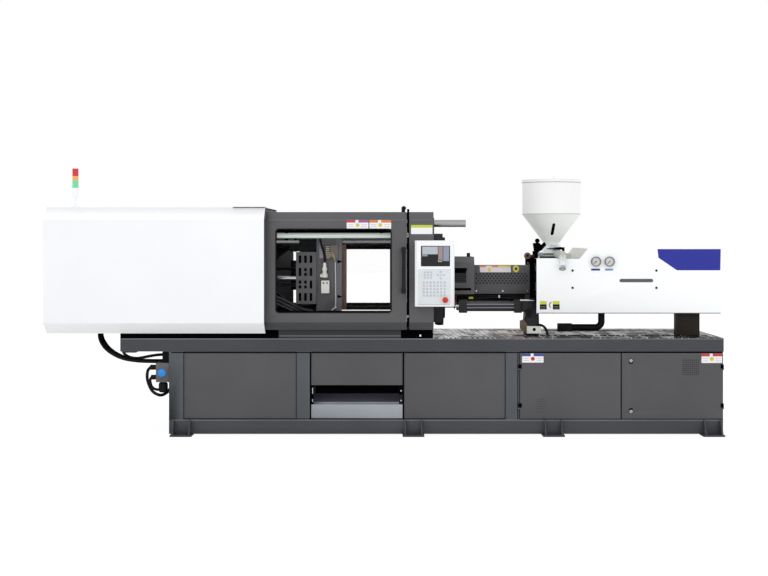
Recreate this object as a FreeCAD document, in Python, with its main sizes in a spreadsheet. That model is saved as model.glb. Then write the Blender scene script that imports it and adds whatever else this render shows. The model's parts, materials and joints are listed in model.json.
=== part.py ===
"""Horizontal injection moulding machine with an inward-folding toggle clamp.

Millimetres. +X runs along the machine from the clamp end to the injection end, +Z is up, and the
operator stands on the -Y side. The origin is on the floor, at the middle of the machine's length.
"""
import FreeCAD, Part
import math
import os

import Sketcher

SIZES = {
    # base frame and deck
    "base_left": 1590, "base_right": 2471, "base_half": 480, "beam_overhang": 357,
    "deck_height": 716, "deck_sheet": 4, "beam_height": 96, "beam_width": 80,
    "sill_low": 12, "sill_height": 102, "post_width": 108, "mould_post": 656, "middle_post": 875,
    "end_post": 60, "mullion": 10, "chute_mullion": 123, "cross_width": 100, "cross_height": 80,
    "panel_sheet": 4, "panel_gap": 0.4, "panel_low": 118, "chute_top": 369,
    "foot_length": 158, "foot_reach": 70, "foot_depth": 150, "gusset": 10, "foot_hole": 11,
    "foot_two": 122, "foot_three": 1145, "foot_four": 2312,
    # product chute
    "chute_sheet": 3, "chute_rear": 300, "chute_lip": 228, "tray_depth": 150,
    # platens, tie bars and ways
    "platen_half": 330, "platen_thick": 190, "fixed_face": 235,
    "moving_face": 327, "tie_spacing": 245, "tie_radius": 32.5,
    "tie_right": 470, "running_gap": 0.05, "seat_gap": 0.3,
    "nut_radius": 58, "nut_length": 45, "tail_nut_length": 70, "platen_corner": 60,
    "ways_height": 96, "ways_inner": 210, "ways_width": 90, "ways_left": 1900,
    "locating_radius": 62.5, "locating_depth": 40, "sprue_radius": 50,
    "bolt_near": 140, "bolt_far": 240, "bolt_radius": 8, "bolt_depth": 40,
    "pedestal_half": 440, "pedestal_height": 30, "pedestal_length": 107,
    "foot_set_back": 3,
    # toggle clamp: heights are from the machine axis, lengths between pin centres
    "pivot_height": 280, "tail_pivot": 160, "rear_link": 235, "front_link": 350, "cross_link": 150,
    "clamp_stroke": 380, "cross_pin_along": 150, "cross_pin_in": 70, "crosshead_pin": 115,
    "main_pin": 25, "small_pin": 18, "main_boss": 42, "small_boss": 31, "lug_radius": 45,
    "link_thick": 30, "layer_gap": 2, "inner_layer": 28, "stub_gap": 0.15,
    "rear_box": 133, "rear_wall_in": 60, "rear_wall_out": 125,
    "piston_rod": 30, "piston_radius": 55, "cylinder_radius": 100, "cylinder_length": 470,
    "crosshead_half": 26, "crosshead_back": 110, "crosshead_front": 25, "guide_rod": 13,
    "guide_height": 62, "guide_length": 420, "rod_back": 620, "cap_thick": 30,
    "ejector_thick": 30, "ejector_half": 150, "ejector_rod": 12, "ejector_set_back": 10,
    # safety bar and the slotted guard on the moving platen
    "bar_radius": 27.5, "bar_offset": 150, "bar_right": 605,
    "bracket_half": 42, "bracket_length": 70,
    "guard_face": 345, "guard_sheet": 4,
    "slot_length": 62, "slot_height": 12,
    # guards, doors and their frame
    "sheet": 3, "door_face": 540, "door_back": 480, "door_left": 895, "door_right": 151,
    "door_chamfer": 505,
    "hanger_reach": 440,
    "pane": 8, "pane_lap": 20,
    "end_guard_left": 170, "end_guard_right": 348, "rail_inner": 400, "rail_height": 50,
    "rail_base": 34, "rail_web": 10, "post_depth": 30,
    "handle_x": 128, "handle_half": 165, "handle_radius": 9, "handle_out": 45,
    "white_left": 2480, "white_right": 882, "white_front": 610, "white_rear": 630,
    "white_chamfer": 500, "lamp_y": 430, "lamp_radius": 19, "hanger": 20,
    # signal lamp
    "signal_x": 2306, "signal_y": 350, "signal_radius": 24,
    "signal_pole": 9, "signal_cap": 6,
    # operator's panel
    "panel_left": 210, "panel_right": 495,
    "panel_face": 625, "panel_bevel": 14,
    "stop_radius": 20,
    "stop_height": 24, "stop_travel": 5,
    # injection unit
    "slide_rail_y": 250, "slide_rail_half": 30, "slide_rail_height": 29, "slide_rail_left": 960,
    "slide_rail_right": 2440, "casting_left": 1000, "casting_thick": 110, "casting_half": 290,
    "frame_beam_height": 60, "frame_beam_y": 180,
    "frame_beam_width": 60, "rear_leg_left": 2170, "rear_leg_right": 2345,
    "far_leg_left": 2290,
    "feed_half": 120,
    "conduit_x": 1627, "conduit_y": 190, "conduit_radius": 25, "conduit_bend": 45,
    "plug_left": 1296, "plug_length": 106, "plug_half": 26, "plug_rise": 30,
    "barrel_radius": 45, "barrel_bore": 21, "nozzle_tip": 290, "nozzle_length": 70,
    "nozzle_radius": 18, "nozzle_root": 330, "barrel_end": 1450,
    "cover_left": 671, "cover_right": 1099, "cover_half": 112,
    "cover_bevel": 54, "cover_bevel_in": 34,
    "pull_y": 172, "pull_radius": 40, "pull_bore": 30, "pull_left": 552,
    "pull_cap": 64, "pull_cap_radius": 46, "pull_rod": 13, "piston_x": 895, "piston_length": 20,
    "housing_left": 1114, "housing_right": 2480, "housing_half": 390,
    "step_start": 1434, "step_end": 1494,
    "vent_left": 1732, "vent_right": 1973,
    "thrust_left": 1500, "thrust_thick": 60, "thrust_half": 200, "drive_radius": 110,
    "drive_length": 330, "inject_y": 150, "inject_rod": 22, "screw_root": 13,
    # hopper
    "hopper_x": 1273, "hopper_radius": 222,
    "throat_radius": 46, "hopper_flange": 75, "flange_thick": 8,
    "lid_radius": 226, "lid_thick": 4, "lid_rise": 9, "lid_hinge": 236, "lid_pin": 4,
    "base_plate_half": 110,
    "neck_half": 62, "gate_thick": 8, "gate_half": 40,
    "gate_reach": 92, "drain_radius": 28, "drain_y": 425,
    "feed_bore": 30,
    # gauges, purge guard
    "gauge_one": 1552, "gauge_radius": 37, "gauge_depth": 25,
    "gauge_rim": 4, "needle_length": 30, "needle_half": 1.5, "needle_pin": 2, "needle_rest": 45,
    "purge_half": 190,
    "purge_chamfer": 158, "purge_pin": 6,
    "purge_hinge_y": 198,
    # cabinet doors
    "cabinet_left": 983, "cabinet_split": 1725, "cabinet_right": 2466, "cabinet_low": 123,
    "cabinet_depth": 25, "cabinet_gap": 5, "hinge_radius": 6, "hinge_pin": 3,
    "hinge_height": 30, "hinge_low": 221, "hinge_out": 8,
    "leaf_reach": 12, "leaf_thick": 4, "mullion_half": 25, "mullion_depth": 12,
    "latch_x": 1796, "latch_low": 176, "latch_radius": 14, "latch_head": 6,
    "latch_shank": 8, "cam_length": 100, "cam_width": 18, "cam_thick": 4, "cam_back": 2,
    # power pack in the base
    "tank_left": 1100, "tank_right": 1900, "tank_rear": 390,
    "motor_radius": 105, "motor_length": 300, "motor_x": 1560, "motor_y": 190, "motor_z": 290,
    "pump_length": 150, "pump_radius": 62, "tank_front": 60, "bed_half": 140, "bed_sheet": 8,
    "stand_half": 120, "stand_width": 60,
    # hydraulic blocks and hoses
    "block_width": 98, "block_front": 470, "block_depth": 120,
    "coil_x": 61, "coil_radius": 31, "coil_length": 40,
    "manifold_thick": 30, "manifold_half": 160, "port_radius": 18, "port_reach": 34,
    "bulkhead_front": 348, "bulkhead_rear": 180,
    "bulkhead_thick": 8, "bulkhead_reach": 20, "hose_radius": 15, "thin_hose": 11,
    # folds, insets and pitches
    "door_top_bevel": 57, "door_low_bevel": 56, "white_top_bevel": 89, "white_low_bevel": 81,
    "purge_bevel": 32, "lens_height": 48, "lens_base": 37, "window_side": 94,
    "rear_window_side": 143, "handle_strip": 113,
    "window_rise": 128, "window_drop": 125, "rear_window_drop": 268, "window_corner": 22,
    "screen_left_inset": 42, "screen_right_inset": 32, "screen_drop": 38, "screen_tall": 149,
    "stop_inset": 67, "stop_rise": 48, "feed_reach": 93, "plate_left": 103, "plate_right": 137,
    "lever_offset": 27, "drain_offset": 29, "gauge_pitch": 100, "moving_pivot": 70,
    "tie_overrun": 445, "guard_reach": 151, "bar_set_in": 17, "purge_gap": 60, "purge_length": 183,
}

# heights above the deck, on which everything but the base stands
HEIGHTS = {
    "ways_low": -76, "cabinet_high": -110, "chute_high": -176, "hinge_high": -209,
    "latch_high": -167, "tank_high": -196, "block_low": -326, "block_high": -186, "coil_z": -259,
    "bulkhead_low": -241, "bulkhead_high": -116, "machine_axis": 434, "bar_height": 842,
    "guard_low": 241, "guard_high": 628, "door_low": 61, "door_top": 922, "handle_mid": 498,
    "white_low": 34, "white_top": 956, "lamp_z": 750, "signal_base_z": 1066, "panel_bottom": 237,
    "panel_top": 714, "casting_top": 302, "frame_beam_low": 184, "conduit_z": 57, "feed_low": 314, "cover_low": 307,
    "cover_high": 523, "pull_z": 217, "housing_low": 173, "housing_step": 579, "housing_top": 654,
    "vent_low": 408, "vent_high": 426, "base_plate_top": 614, "gate_z": 645, "drain_z": 609,
    "drain_low": 491, "hopper_low": 677, "hopper_cone_top": 915, "hopper_high": 1173,
    "gauge_z": 558, "purge_low": 307, "purge_high": 588, "purge_hinge_z": 296,
    "purge_window_low": 394, "purge_window_high": 484, "port_z": 108, "manifold_high": 164,
}


class Length:
    """A size that carries both its value and the expression over the sheet that gives it."""

    def __init__(self, value, text):
        self.value, self.text = float(value), text

    def join(self, other, sign, value):
        return Length(value, f"({self.text} {sign} {as_length(other).text})")

    def __add__(self, other):
        return self.join(other, "+", self.value + as_length(other).value)

    def __sub__(self, other):
        return self.join(other, "-", self.value - as_length(other).value)

    def __mul__(self, other):
        return self.join(other, "*", self.value * as_length(other).value)

    def __truediv__(self, other):
        return self.join(other, "/", self.value / as_length(other).value)

    def __radd__(self, other):
        return as_length(other) + self

    def __rsub__(self, other):
        return as_length(other) - self

    def __rmul__(self, other):
        return as_length(other) * self

    def __neg__(self):
        return Length(-self.value, f"(0 - {self.text})")

    def root(self):
        return Length(math.sqrt(self.value), f"sqrt({self.text})")

    def turn_to(self, up):
        """The angle in degrees of the direction that goes this far along and up this far."""
        up = as_length(up)
        angle = math.degrees(math.atan2(up.value, self.value))
        return Length(angle, f"atan2({up.text}; {self.text})")


def as_length(value):
    return value if isinstance(value, Length) else Length(value, repr(float(value)))


class Sizes:
    """Reads each driving size of the sheet by its name."""

    def __getattr__(self, name):
        if name in HEIGHTS:
            deck = SIZES["deck_height"]
            return Length(deck + HEIGHTS[name], f"(sizes.deck_height + sizes.{name})")
        return Length(SIZES[name], f"sizes.{name}")


doc = FreeCAD.newDocument("injection_moulding_machine")
sheet = doc.addObject("Spreadsheet::Sheet", "sizes")
for row, (alias, value) in enumerate([*SIZES.items(), *HEIGHTS.items()], 1):
    sheet.set(f"A{row}", alias)
    sheet.set(f"B{row}", str(value))
    sheet.setAlias(f"B{row}", alias)
doc.recompute()
s = Sizes()
NODES = {}
TURN_TO = {
    "X": FreeCAD.Rotation(FreeCAD.Vector(0, 1, 0), 90),
    "Y": FreeCAD.Rotation(FreeCAD.Vector(1, 0, 0), -90),
    "Z": FreeCAD.Rotation(),
}
SIDES = (-1, 1)


def bind(obj, prop, size):
    obj.setExpression(prop, as_length(size).text)


def place(obj, x=0, y=0, z=0):
    for axis, size in zip("xyz", (x, y, z)):
        bind(obj, f"Placement.Base.{axis}", size)
    return obj


def box(name, low, high):
    """A box between its low and its high corner."""
    obj = doc.addObject("Part::Box", name)
    for side, start, end in zip(("Length", "Width", "Height"), low, high):
        bind(obj, side, as_length(end) - start)
    return place(obj, *low)


def rod(name, axis, start, length, radius):
    """A cylinder from the centre of its first end, along one axis."""
    obj = doc.addObject("Part::Cylinder", name)
    bind(obj, "Radius", radius)
    bind(obj, "Height", length)
    obj.Placement = FreeCAD.Placement(FreeCAD.Vector(), TURN_TO[axis])
    return place(obj, *start)


def cone(name, axis, start, length, first, last):
    obj = doc.addObject("Part::Cone", name)
    bind(obj, "Radius1", first)
    bind(obj, "Radius2", last)
    bind(obj, "Height", length)
    obj.Placement = FreeCAD.Placement(FreeCAD.Vector(), TURN_TO[axis])
    return place(obj, *start)


def turn_about(obj, axis, angle):
    """Turns an object about an axis through the origin by an angle of the sheet."""
    obj.Placement = FreeCAD.Placement(FreeCAD.Vector(), FreeCAD.Rotation(axis, 1))
    bind(obj, "Placement.Rotation.Angle", angle)


def fuse(name, *parts):
    obj = doc.addObject("Part::MultiFuse", name)
    obj.Shapes = list(parts)
    obj.Refine = True
    return obj


def group(name, *parts):
    """Separate solids kept together in one piece of the assembly."""
    obj = doc.addObject("Part::Compound", name)
    obj.Links = list(parts)
    return obj


def cut(name, base, *tools):
    obj = doc.addObject("Part::Cut", name)
    obj.Base = base
    obj.Tool = tools[0] if len(tools) == 1 else fuse(name + "_tools", *tools)
    obj.Refine = True
    return obj


def prism(name, plane, points, start, end):
    """A closed outline in the plane's two axes, padded along the third from start to end."""
    body = doc.addObject("PartDesign::Body", name)
    sketch = body.newObject("Sketcher::SketchObject", name + "_outline")
    roles = {feature.Role: feature for feature in body.Origin.OriginFeatures}
    sketch.AttachmentSupport = [(roles[plane + "_Plane"], "")]
    sketch.MapMode = "FlatFace"
    corners = [(as_length(across), as_length(up)) for across, up in points]
    vectors = [FreeCAD.Vector(across.value, up.value, 0) for across, up in corners]
    for first, last in zip(vectors, vectors[1:] + vectors[:1]):
        sketch.addGeometry(Part.LineSegment(first, last))
    for index, corner in enumerate(corners):
        sketch.addConstraint(
            Sketcher.Constraint("Coincident", index, 2, (index + 1) % len(corners), 1))
        for kind, size in zip(("DistanceX", "DistanceY"), corner):
            bound = sketch.addConstraint(Sketcher.Constraint(kind, -1, 1, index, 1, size.value))
            sketch.setExpression(f"Constraints[{bound}]", size.text)
    pad = body.newObject("PartDesign::Pad", name + "_pad")
    pad.Profile = sketch
    bind(pad, "Length", as_length(end) - start)
    along = {"YZ": 0, "XZ": 1, "XY": 2}[plane]
    place(body, *[(end if plane == "XZ" else start) if axis == along else 0 for axis in range(3)])
    return body


def node(label, obj):
    """Names a finished piece of the assembly."""
    obj.Label = label
    NODES[label] = obj
    return obj


def mirror_y(y):
    """The two signed places of a distance from the middle plane."""
    return [side * y for side in SIDES]


def span(side, inner, outer):
    """Low and high Y of a strip between two distances from the middle plane, on one side."""
    return (inner, outer) if side > 0 else (-outer, -inner)


# ---------------------------------------------------------------------------- base

beam_top = s.deck_height - s.deck_sheet
beam_low = beam_top - s.beam_height
beam_inner = s.base_half - s.beam_width
sill_top = s.sill_low + s.sill_height
post_lefts = [-s.base_left, -s.mould_post, s.middle_post, s.base_right - s.end_post]
post_widths = [s.post_width, s.post_width, s.post_width, s.end_post]
ways_top = s.ways_low + s.ways_height


def hinge_pins(name, hinge_x, wing_x, z):
    """A frame-side hinge: a leaf on the post and the pin that stands on it."""
    pin_y = -(s.base_half + s.hinge_out)
    low = z - s.hinge_height / 2
    leaf = box(name + "_leaf", (wing_x, pin_y - s.hinge_radius, low - 10),
               (hinge_x + s.hinge_radius, -s.base_half, low - s.seat_gap))
    pin = rod(name + "_pin", "Z", (hinge_x, pin_y, low - 10), s.hinge_height + 8, s.hinge_pin)
    return fuse(name, leaf, pin)


def cabinet_hinge_places():
    """Hinge line and the post edge beside it, for the left and the right cabinet door."""
    return {"left": (s.cabinet_left - s.hinge_radius, s.cabinet_left - 3 * s.hinge_radius),
            "right": (s.cabinet_right + 3, s.cabinet_right + s.panel_gap)}


def base_frame():
    members = []
    for side in SIDES:
        tag = "front" if side < 0 else "rear"
        outer_strip = span(side, beam_inner, s.base_half)
        members.append(box(f"top_beam_{tag}",
                           (-(s.base_left + s.beam_overhang), outer_strip[0], beam_low),
                           (s.base_right + 5, outer_strip[1], beam_top)))
        members.append(box(f"sill_{tag}", (-s.base_left, outer_strip[0], s.sill_low),
                           (s.base_right, outer_strip[1], sill_top)))
        for index, (left, width) in enumerate(zip(post_lefts, post_widths)):
            front = s.base_half if index < 3 else s.base_half - s.cabinet_depth - s.cabinet_gap
            strip = span(side, beam_inner, front if side < 0 else s.base_half)
            members.append(box(f"post_{tag}_{index}", (left, strip[0], sill_top),
                               (left + width, strip[1], beam_low)))
    cross_left = [-(s.base_left + s.beam_overhang), -s.base_left + 250, -s.mould_post,
                  s.fixed_face + 40, s.middle_post, s.base_right - s.cross_width]
    for index, left in enumerate(cross_left):
        height = s.cross_height if index else s.cross_height / 2
        members.append(box(f"cross_beam_{index}", (left, -beam_inner, s.ways_low - height),
                           (left + s.cross_width, beam_inner, s.ways_low)))
    for index, left in enumerate([-s.base_left, -s.mould_post, s.middle_post,
                                  s.base_right - s.cross_width]):
        members.append(box(f"sill_tie_{index}", (left, -beam_inner, s.sill_low),
                           (left + s.cross_width, beam_inner, sill_top)))
    mullion_back = s.base_half - s.cabinet_depth - s.cabinet_gap
    members.append(box("chute_mullion", (s.chute_mullion, -(s.base_half - 10), sill_top),
                       (s.chute_mullion + s.mullion, -beam_inner, beam_low)))
    members.append(box("cabinet_mullion", (s.cabinet_split - s.mullion_half, -mullion_back, sill_top),
                       (s.cabinet_split + s.mullion_half, -mullion_back + s.mullion_depth, beam_low)))
    members.append(box("door_jamb", (s.cabinet_right + s.panel_gap, -s.base_half, sill_top),
                       (s.base_right, -mullion_back, beam_low)))
    for name, (hinge_x, wing_x) in cabinet_hinge_places().items():
        for level, z in (("high", s.hinge_high), ("low", s.hinge_low)):
            members.append(hinge_pins(f"{name}_{level}_hinge", hinge_x, wing_x, z))
    node("base_frame", group("frame_members", *members))


def machine_feet():
    feet = []
    foot_lefts = [-s.base_left + 15, s.foot_two, s.foot_three, s.foot_four]
    for side in SIDES:
        for index, left in enumerate(foot_lefts):
            tag = f"foot_{'front' if side < 0 else 'rear'}_{index}"
            strip = span(side, s.base_half - s.foot_depth + s.foot_reach, s.base_half + s.foot_reach)
            plate = box(tag + "_plate", (left, strip[0], 0), (left + s.foot_length, strip[1],
                                                              s.sill_low))
            gusset_outline = [(side * s.base_half, s.sill_low),
                              (side * (s.base_half + s.foot_reach), s.sill_low),
                              (side * (s.base_half + s.foot_reach), s.sill_low + 14),
                              (side * (s.base_half + 18), sill_top),
                              (side * s.base_half, sill_top)]
            ribs = [prism(f"{tag}_rib_{number}", "YZ", gusset_outline, x, x + s.gusset)
                    for number, x in enumerate((left + 14, left + s.foot_length - 14 - s.gusset))]
            hole = rod(tag + "_hole", "Z", (left + s.foot_length / 2,
                                            side * (s.base_half + s.foot_reach / 2), -1),
                       s.sill_low + 2, s.foot_hole)
            feet.append(cut(tag, fuse(tag + "_body", plate, *ribs), hole))
    node("machine_feet", group("feet", *feet))


def base_panels():
    """The sheet panels between the posts, front and rear, and the two end sheets."""
    face = s.base_half - s.panel_sheet
    gap = s.panel_gap
    high = beam_low - gap
    panels = []
    spans = [("left", post_lefts[0] + s.post_width, post_lefts[1], s.panel_low),
             ("upper", post_lefts[1] + s.post_width, s.chute_mullion, s.chute_top),
             ("right", s.chute_mullion + s.mullion, post_lefts[2], s.panel_low)]
    for name, left, right, low in spans:
        panels.append(box(f"panel_front_{name}", (left + gap, -face, low),
                          (right - gap, -face + s.panel_sheet, high)))
    rear_edges = [(post_lefts[0] + s.post_width, post_lefts[1]),
                  (post_lefts[1] + s.post_width, post_lefts[2]),
                  (post_lefts[2] + s.post_width, post_lefts[3])]
    for index, (left, right) in enumerate(rear_edges):
        panels.append(box(f"panel_rear_{index}", (left + gap, face - s.panel_sheet, s.panel_low),
                          (right - gap, face, high)))
    for name, left in (("left", -s.base_left + 4), ("right", s.base_right - 4 - s.panel_sheet)):
        panels.append(box(f"panel_end_{name}", (left, -beam_inner + gap, sill_top + gap),
                          (left + s.panel_sheet, beam_inner - gap, s.ways_low - s.cross_height - gap)))
    node("base_panels", group("panels", *panels))


def deck():
    node("deck_plate", box("deck_sheet_metal",
                           (s.fixed_face + s.pedestal_length + 4, -s.base_half, beam_top),
                           (s.base_right, s.base_half, s.deck_height)))
    ways = [box(f"clamp_way_{index}", (-s.ways_left, strip[0], s.ways_low),
                (s.fixed_face, strip[1], ways_top))
            for index, strip in enumerate(span(side, s.ways_inner, s.ways_inner + s.ways_width)
                                          for side in SIDES)]
    rails = [box(f"carriage_rail_{index}", (s.slide_rail_left, y - s.slide_rail_half, s.deck_height),
                 (s.slide_rail_right, y + s.slide_rail_half, s.deck_height + s.slide_rail_height))
             for index, y in enumerate(mirror_y(s.slide_rail_y))]
    node("machine_ways", group("ways", *ways, *rails))


def product_chute():
    """A sheet that slopes down to the front, between two cheeks, and the tray under its lip."""
    left = post_lefts[1] + s.post_width + s.seat_gap
    right = s.chute_mullion - s.seat_gap
    front = -(s.base_half - s.panel_sheet)
    back = s.chute_rear
    inside = front + s.tray_depth
    slope = [(inside, s.chute_lip), (back, s.chute_high), (back, s.chute_high + s.chute_sheet),
             (inside, s.chute_lip + s.chute_sheet)]
    cheek = [(inside, s.chute_lip), (back, s.chute_high), (back, s.chute_high + 40),
             (inside, s.chute_lip + 80)]
    sheets = [prism("chute_slope", "YZ", slope, left, right),
              prism("chute_cheek_left", "YZ", cheek, left, left + s.chute_sheet),
              prism("chute_cheek_right", "YZ", cheek, right - s.chute_sheet, right)]
    tray = cut("chute_tray",
               box("tray_block", (left, front, s.panel_low), (right, inside, s.chute_lip)),
               box("tray_hollow", (left + s.chute_sheet, front + s.chute_sheet,
                                   s.panel_low + s.chute_sheet),
                   (right - s.chute_sheet, inside - s.chute_sheet, s.chute_lip + 1)))
    node("product_chute", group("chute", fuse("chute_body", *sheets), tray))


# ---------------------------------------------------------------------------- clamp

moving_right = -s.moving_face
moving_left = moving_right - s.platen_thick
box_left = moving_left - s.rear_box
closed_reach = s.rear_link + s.front_link
open_reach = closed_reach - s.clamp_stroke
pivot_x = box_left - s.moving_pivot - open_reach
tail_right = pivot_x - s.tail_pivot
tail_left = tail_right - s.platen_thick
# knee of the open toggle, from the tail pivot: along the machine and in towards its axis
knee_along = (open_reach * open_reach + s.rear_link * s.rear_link - s.front_link * s.front_link
              ) / (2 * open_reach)
knee_in = (s.rear_link * s.rear_link - knee_along * knee_along).root()
# the cross link's pin on the rear link, turned with it
turn_cos = knee_along / s.rear_link
turn_sin = knee_in / s.rear_link
link_pin_along = s.cross_pin_along * turn_cos - s.cross_pin_in * turn_sin
link_pin_in = s.cross_pin_along * turn_sin + s.cross_pin_in * turn_cos
head_in = s.pivot_height - s.crosshead_pin
head_drop = head_in - link_pin_in
head_along = link_pin_along + (s.cross_link * s.cross_link - head_drop * head_drop).root()
head_x = pivot_x + head_along
layer_one = s.inner_layer
layer_two = layer_one + s.link_thick + s.layer_gap
layer_three = layer_two + s.link_thick + s.layer_gap
layer_end = layer_three + s.link_thick
bar_left = moving_left + s.bar_set_in
purge_left = s.fixed_face + s.platen_thick + s.purge_gap
purge_right = purge_left + s.purge_length


def tie_bores(tag, left, right, radius):
    return [rod(f"{tag}_tie_bore_{y_side}_{z_side}", "X",
                (left - 1, y_side * s.tie_spacing, s.machine_axis + z_side * s.tie_spacing),
                right - left + 2, radius)
            for y_side in SIDES for z_side in SIDES]


def bolt_holes(tag, face, towards):
    """Blind tapped holes in a platen's mould face, as a wide and a tall rectangle."""
    start = face if towards > 0 else face - s.bolt_depth
    return [rod(f"{tag}_bolt_{number}_{y_side}_{z_side}", "X",
                (start, y_side * across, s.machine_axis + z_side * up), s.bolt_depth, s.bolt_radius)
            for number, (across, up) in enumerate(((s.bolt_near, s.bolt_far),
                                                   (s.bolt_far, s.bolt_near)))
            for y_side in SIDES for z_side in SIDES]


def platen_block(tag, left):
    """A platen's plate with its corners cut off at the tie bars."""
    half, corner = s.platen_half, s.platen_corner
    axis = s.machine_axis
    outline = [(-half + corner, axis + half), (-half, axis + half - corner), (-half, axis - half),
               (half, axis - half), (half, axis + half - corner), (half - corner, axis + half)]
    return prism(tag, "YZ", outline, left, left + s.platen_thick)


def shoes(tag, left, right):
    return [box(f"{tag}_shoe_{index}", (left, strip[0], ways_top + s.seat_gap),
                (right, strip[1], s.machine_axis - s.platen_half + 1))
            for index, strip in enumerate(span(side, s.ways_inner, s.ways_inner + s.ways_width)
                                          for side in SIDES)]


def lugs(tag, root, x, inner, outer):
    """Pivot lugs from a platen out to the pins, above and below the axis, on both sides."""
    left, right = (root, x) if root.value < x.value else (x, root)
    parts = []
    for y_side in SIDES:
        strip = span(y_side, inner, outer)
        for z_side in SIDES:
            z = s.machine_axis + z_side * s.pivot_height
            name = f"{tag}_{y_side}_{z_side}"
            parts.append(box(name + "_arm", (left, strip[0], z - s.lug_radius),
                             (right, strip[1], z + s.lug_radius)))
            parts.append(rod(name + "_eye", "Y", (x, strip[0], z), strip[1] - strip[0],
                             s.lug_radius))
    return parts


def main_pins(tag, x):
    return [rod(f"{tag}_pin_{z_side}", "Y",
                (x, -layer_end, s.machine_axis + z_side * s.pivot_height), 2 * layer_end,
                s.main_pin)
            for z_side in SIDES]


def bar_bracket(tag, left, bore_gap):
    """A block on a platen's top that the safety bar passes through."""
    y = -s.bar_offset
    block = box(tag, (left, y - s.bracket_half, s.machine_axis + s.platen_half - 1),
                (left + s.bracket_length, y + s.bracket_half, s.bar_height + s.bracket_half))
    bore = rod(tag + "_bore", "X", (left - 1, y, s.bar_height), s.bracket_length + 2,
               s.bar_radius + bore_gap)
    return block, bore


def fixed_platen():
    left, right = s.fixed_face, s.fixed_face + s.platen_thick
    plate = platen_block("fixed_plate", left)
    column = box("fixed_column", (left + s.foot_set_back, -s.platen_half, beam_top),
                 (left + s.pedestal_length, s.platen_half, s.machine_axis - s.platen_half + 1))
    foot = box("fixed_foot", (left + s.foot_set_back, -s.pedestal_half, beam_top),
               (left + s.pedestal_length, s.pedestal_half, beam_top + s.pedestal_height))
    bracket, bar_bore = bar_bracket("fixed_bracket", left + 60, s.running_gap)
    pin = rod("purge_pin", "X", (right - 5, s.purge_hinge_y, s.purge_hinge_z),
              purge_right - right, s.purge_pin)
    locating = rod("locating_bore", "X", (left - 1, 0, s.machine_axis), s.locating_depth + 1,
                   s.locating_radius)
    sprue = rod("nozzle_hole", "X", (left, 0, s.machine_axis), s.platen_thick + 1, s.sprue_radius)
    holes = tie_bores("fixed", left, right, s.tie_radius + s.running_gap)
    holes += bolt_holes("fixed", left, 1)
    node("fixed_platen", cut("fixed_platen_body", fuse("fixed_block", plate, column, foot, bracket, pin),
                             locating, sprue, bar_bore, *holes))


def tie_bars():
    pieces = []
    for y_side in SIDES:
        for z_side in SIDES:
            y, z = y_side * s.tie_spacing, s.machine_axis + z_side * s.tie_spacing
            left = tail_left - s.tie_overrun
            pieces.append(rod(f"tie_bar_{y_side}_{z_side}", "X", (left, y, z),
                              s.tie_right - left, s.tie_radius))
            nut_left = s.fixed_face + s.platen_thick
            pieces.append(cut(f"tie_nut_{y_side}_{z_side}",
                              rod(f"nut_blank_{y_side}_{z_side}", "X", (nut_left, y, z),
                                  s.nut_length, s.nut_radius),
                              rod(f"nut_thread_{y_side}_{z_side}", "X", (nut_left - 1, y, z),
                                  s.nut_length + 2, s.tie_radius + s.running_gap)))
    node("tie_bars", group("bars_and_nuts", *pieces))


def tail_platen():
    plate = platen_block("tail_plate", tail_left)
    arms = lugs("tail_lug", tail_right - 5, pivot_x, layer_three, layer_end)
    pins = main_pins("tail", pivot_x)
    guides = [rod(f"guide_rod_{side}", "X", (tail_right - 5, 0,
                                             s.machine_axis + side * s.guide_height),
                  s.guide_length, s.guide_rod) for side in SIDES]
    nuts = [rod(f"tail_nut_{y_side}_{z_side}", "X",
                (tail_left - s.tail_nut_length, y_side * s.tie_spacing,
                 s.machine_axis + z_side * s.tie_spacing), s.tail_nut_length + 1, s.nut_radius)
            for y_side in SIDES for z_side in SIDES]
    bores = tie_bores("tail", tail_left - s.tail_nut_length, tail_right,
                      s.tie_radius + s.running_gap)
    rod_bore = rod("piston_rod_bore", "X", (tail_left - 1, 0, s.machine_axis),
                   s.platen_thick + 2, s.piston_rod + s.running_gap)
    body = fuse("tail_block", plate, *arms, *pins, *guides, *nuts,
                *shoes("tail", tail_left, tail_right))
    node("tail_platen", cut("tail_platen_body", body, rod_bore, *bores))


def clamp_cylinder():
    left = tail_left - s.cylinder_length
    flange = rod("cylinder_flange", "X", (tail_left - 35, 0, s.machine_axis), 35,
                 s.cylinder_radius + 30)
    tube = rod("cylinder_tube", "X", (left, 0, s.machine_axis), s.cylinder_length,
               s.cylinder_radius)
    cap = rod("cylinder_cap", "X", (left - s.cap_thick, 0, s.machine_axis), s.cap_thick,
              s.cylinder_radius + 12)
    bore = rod("cylinder_bore", "X", (left, 0, s.machine_axis), s.cylinder_length + 1,
               s.piston_radius)
    node("clamp_cylinder", cut("clamp_cylinder_body", fuse("cylinder_blank", flange, tube, cap),
                               bore))


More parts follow.
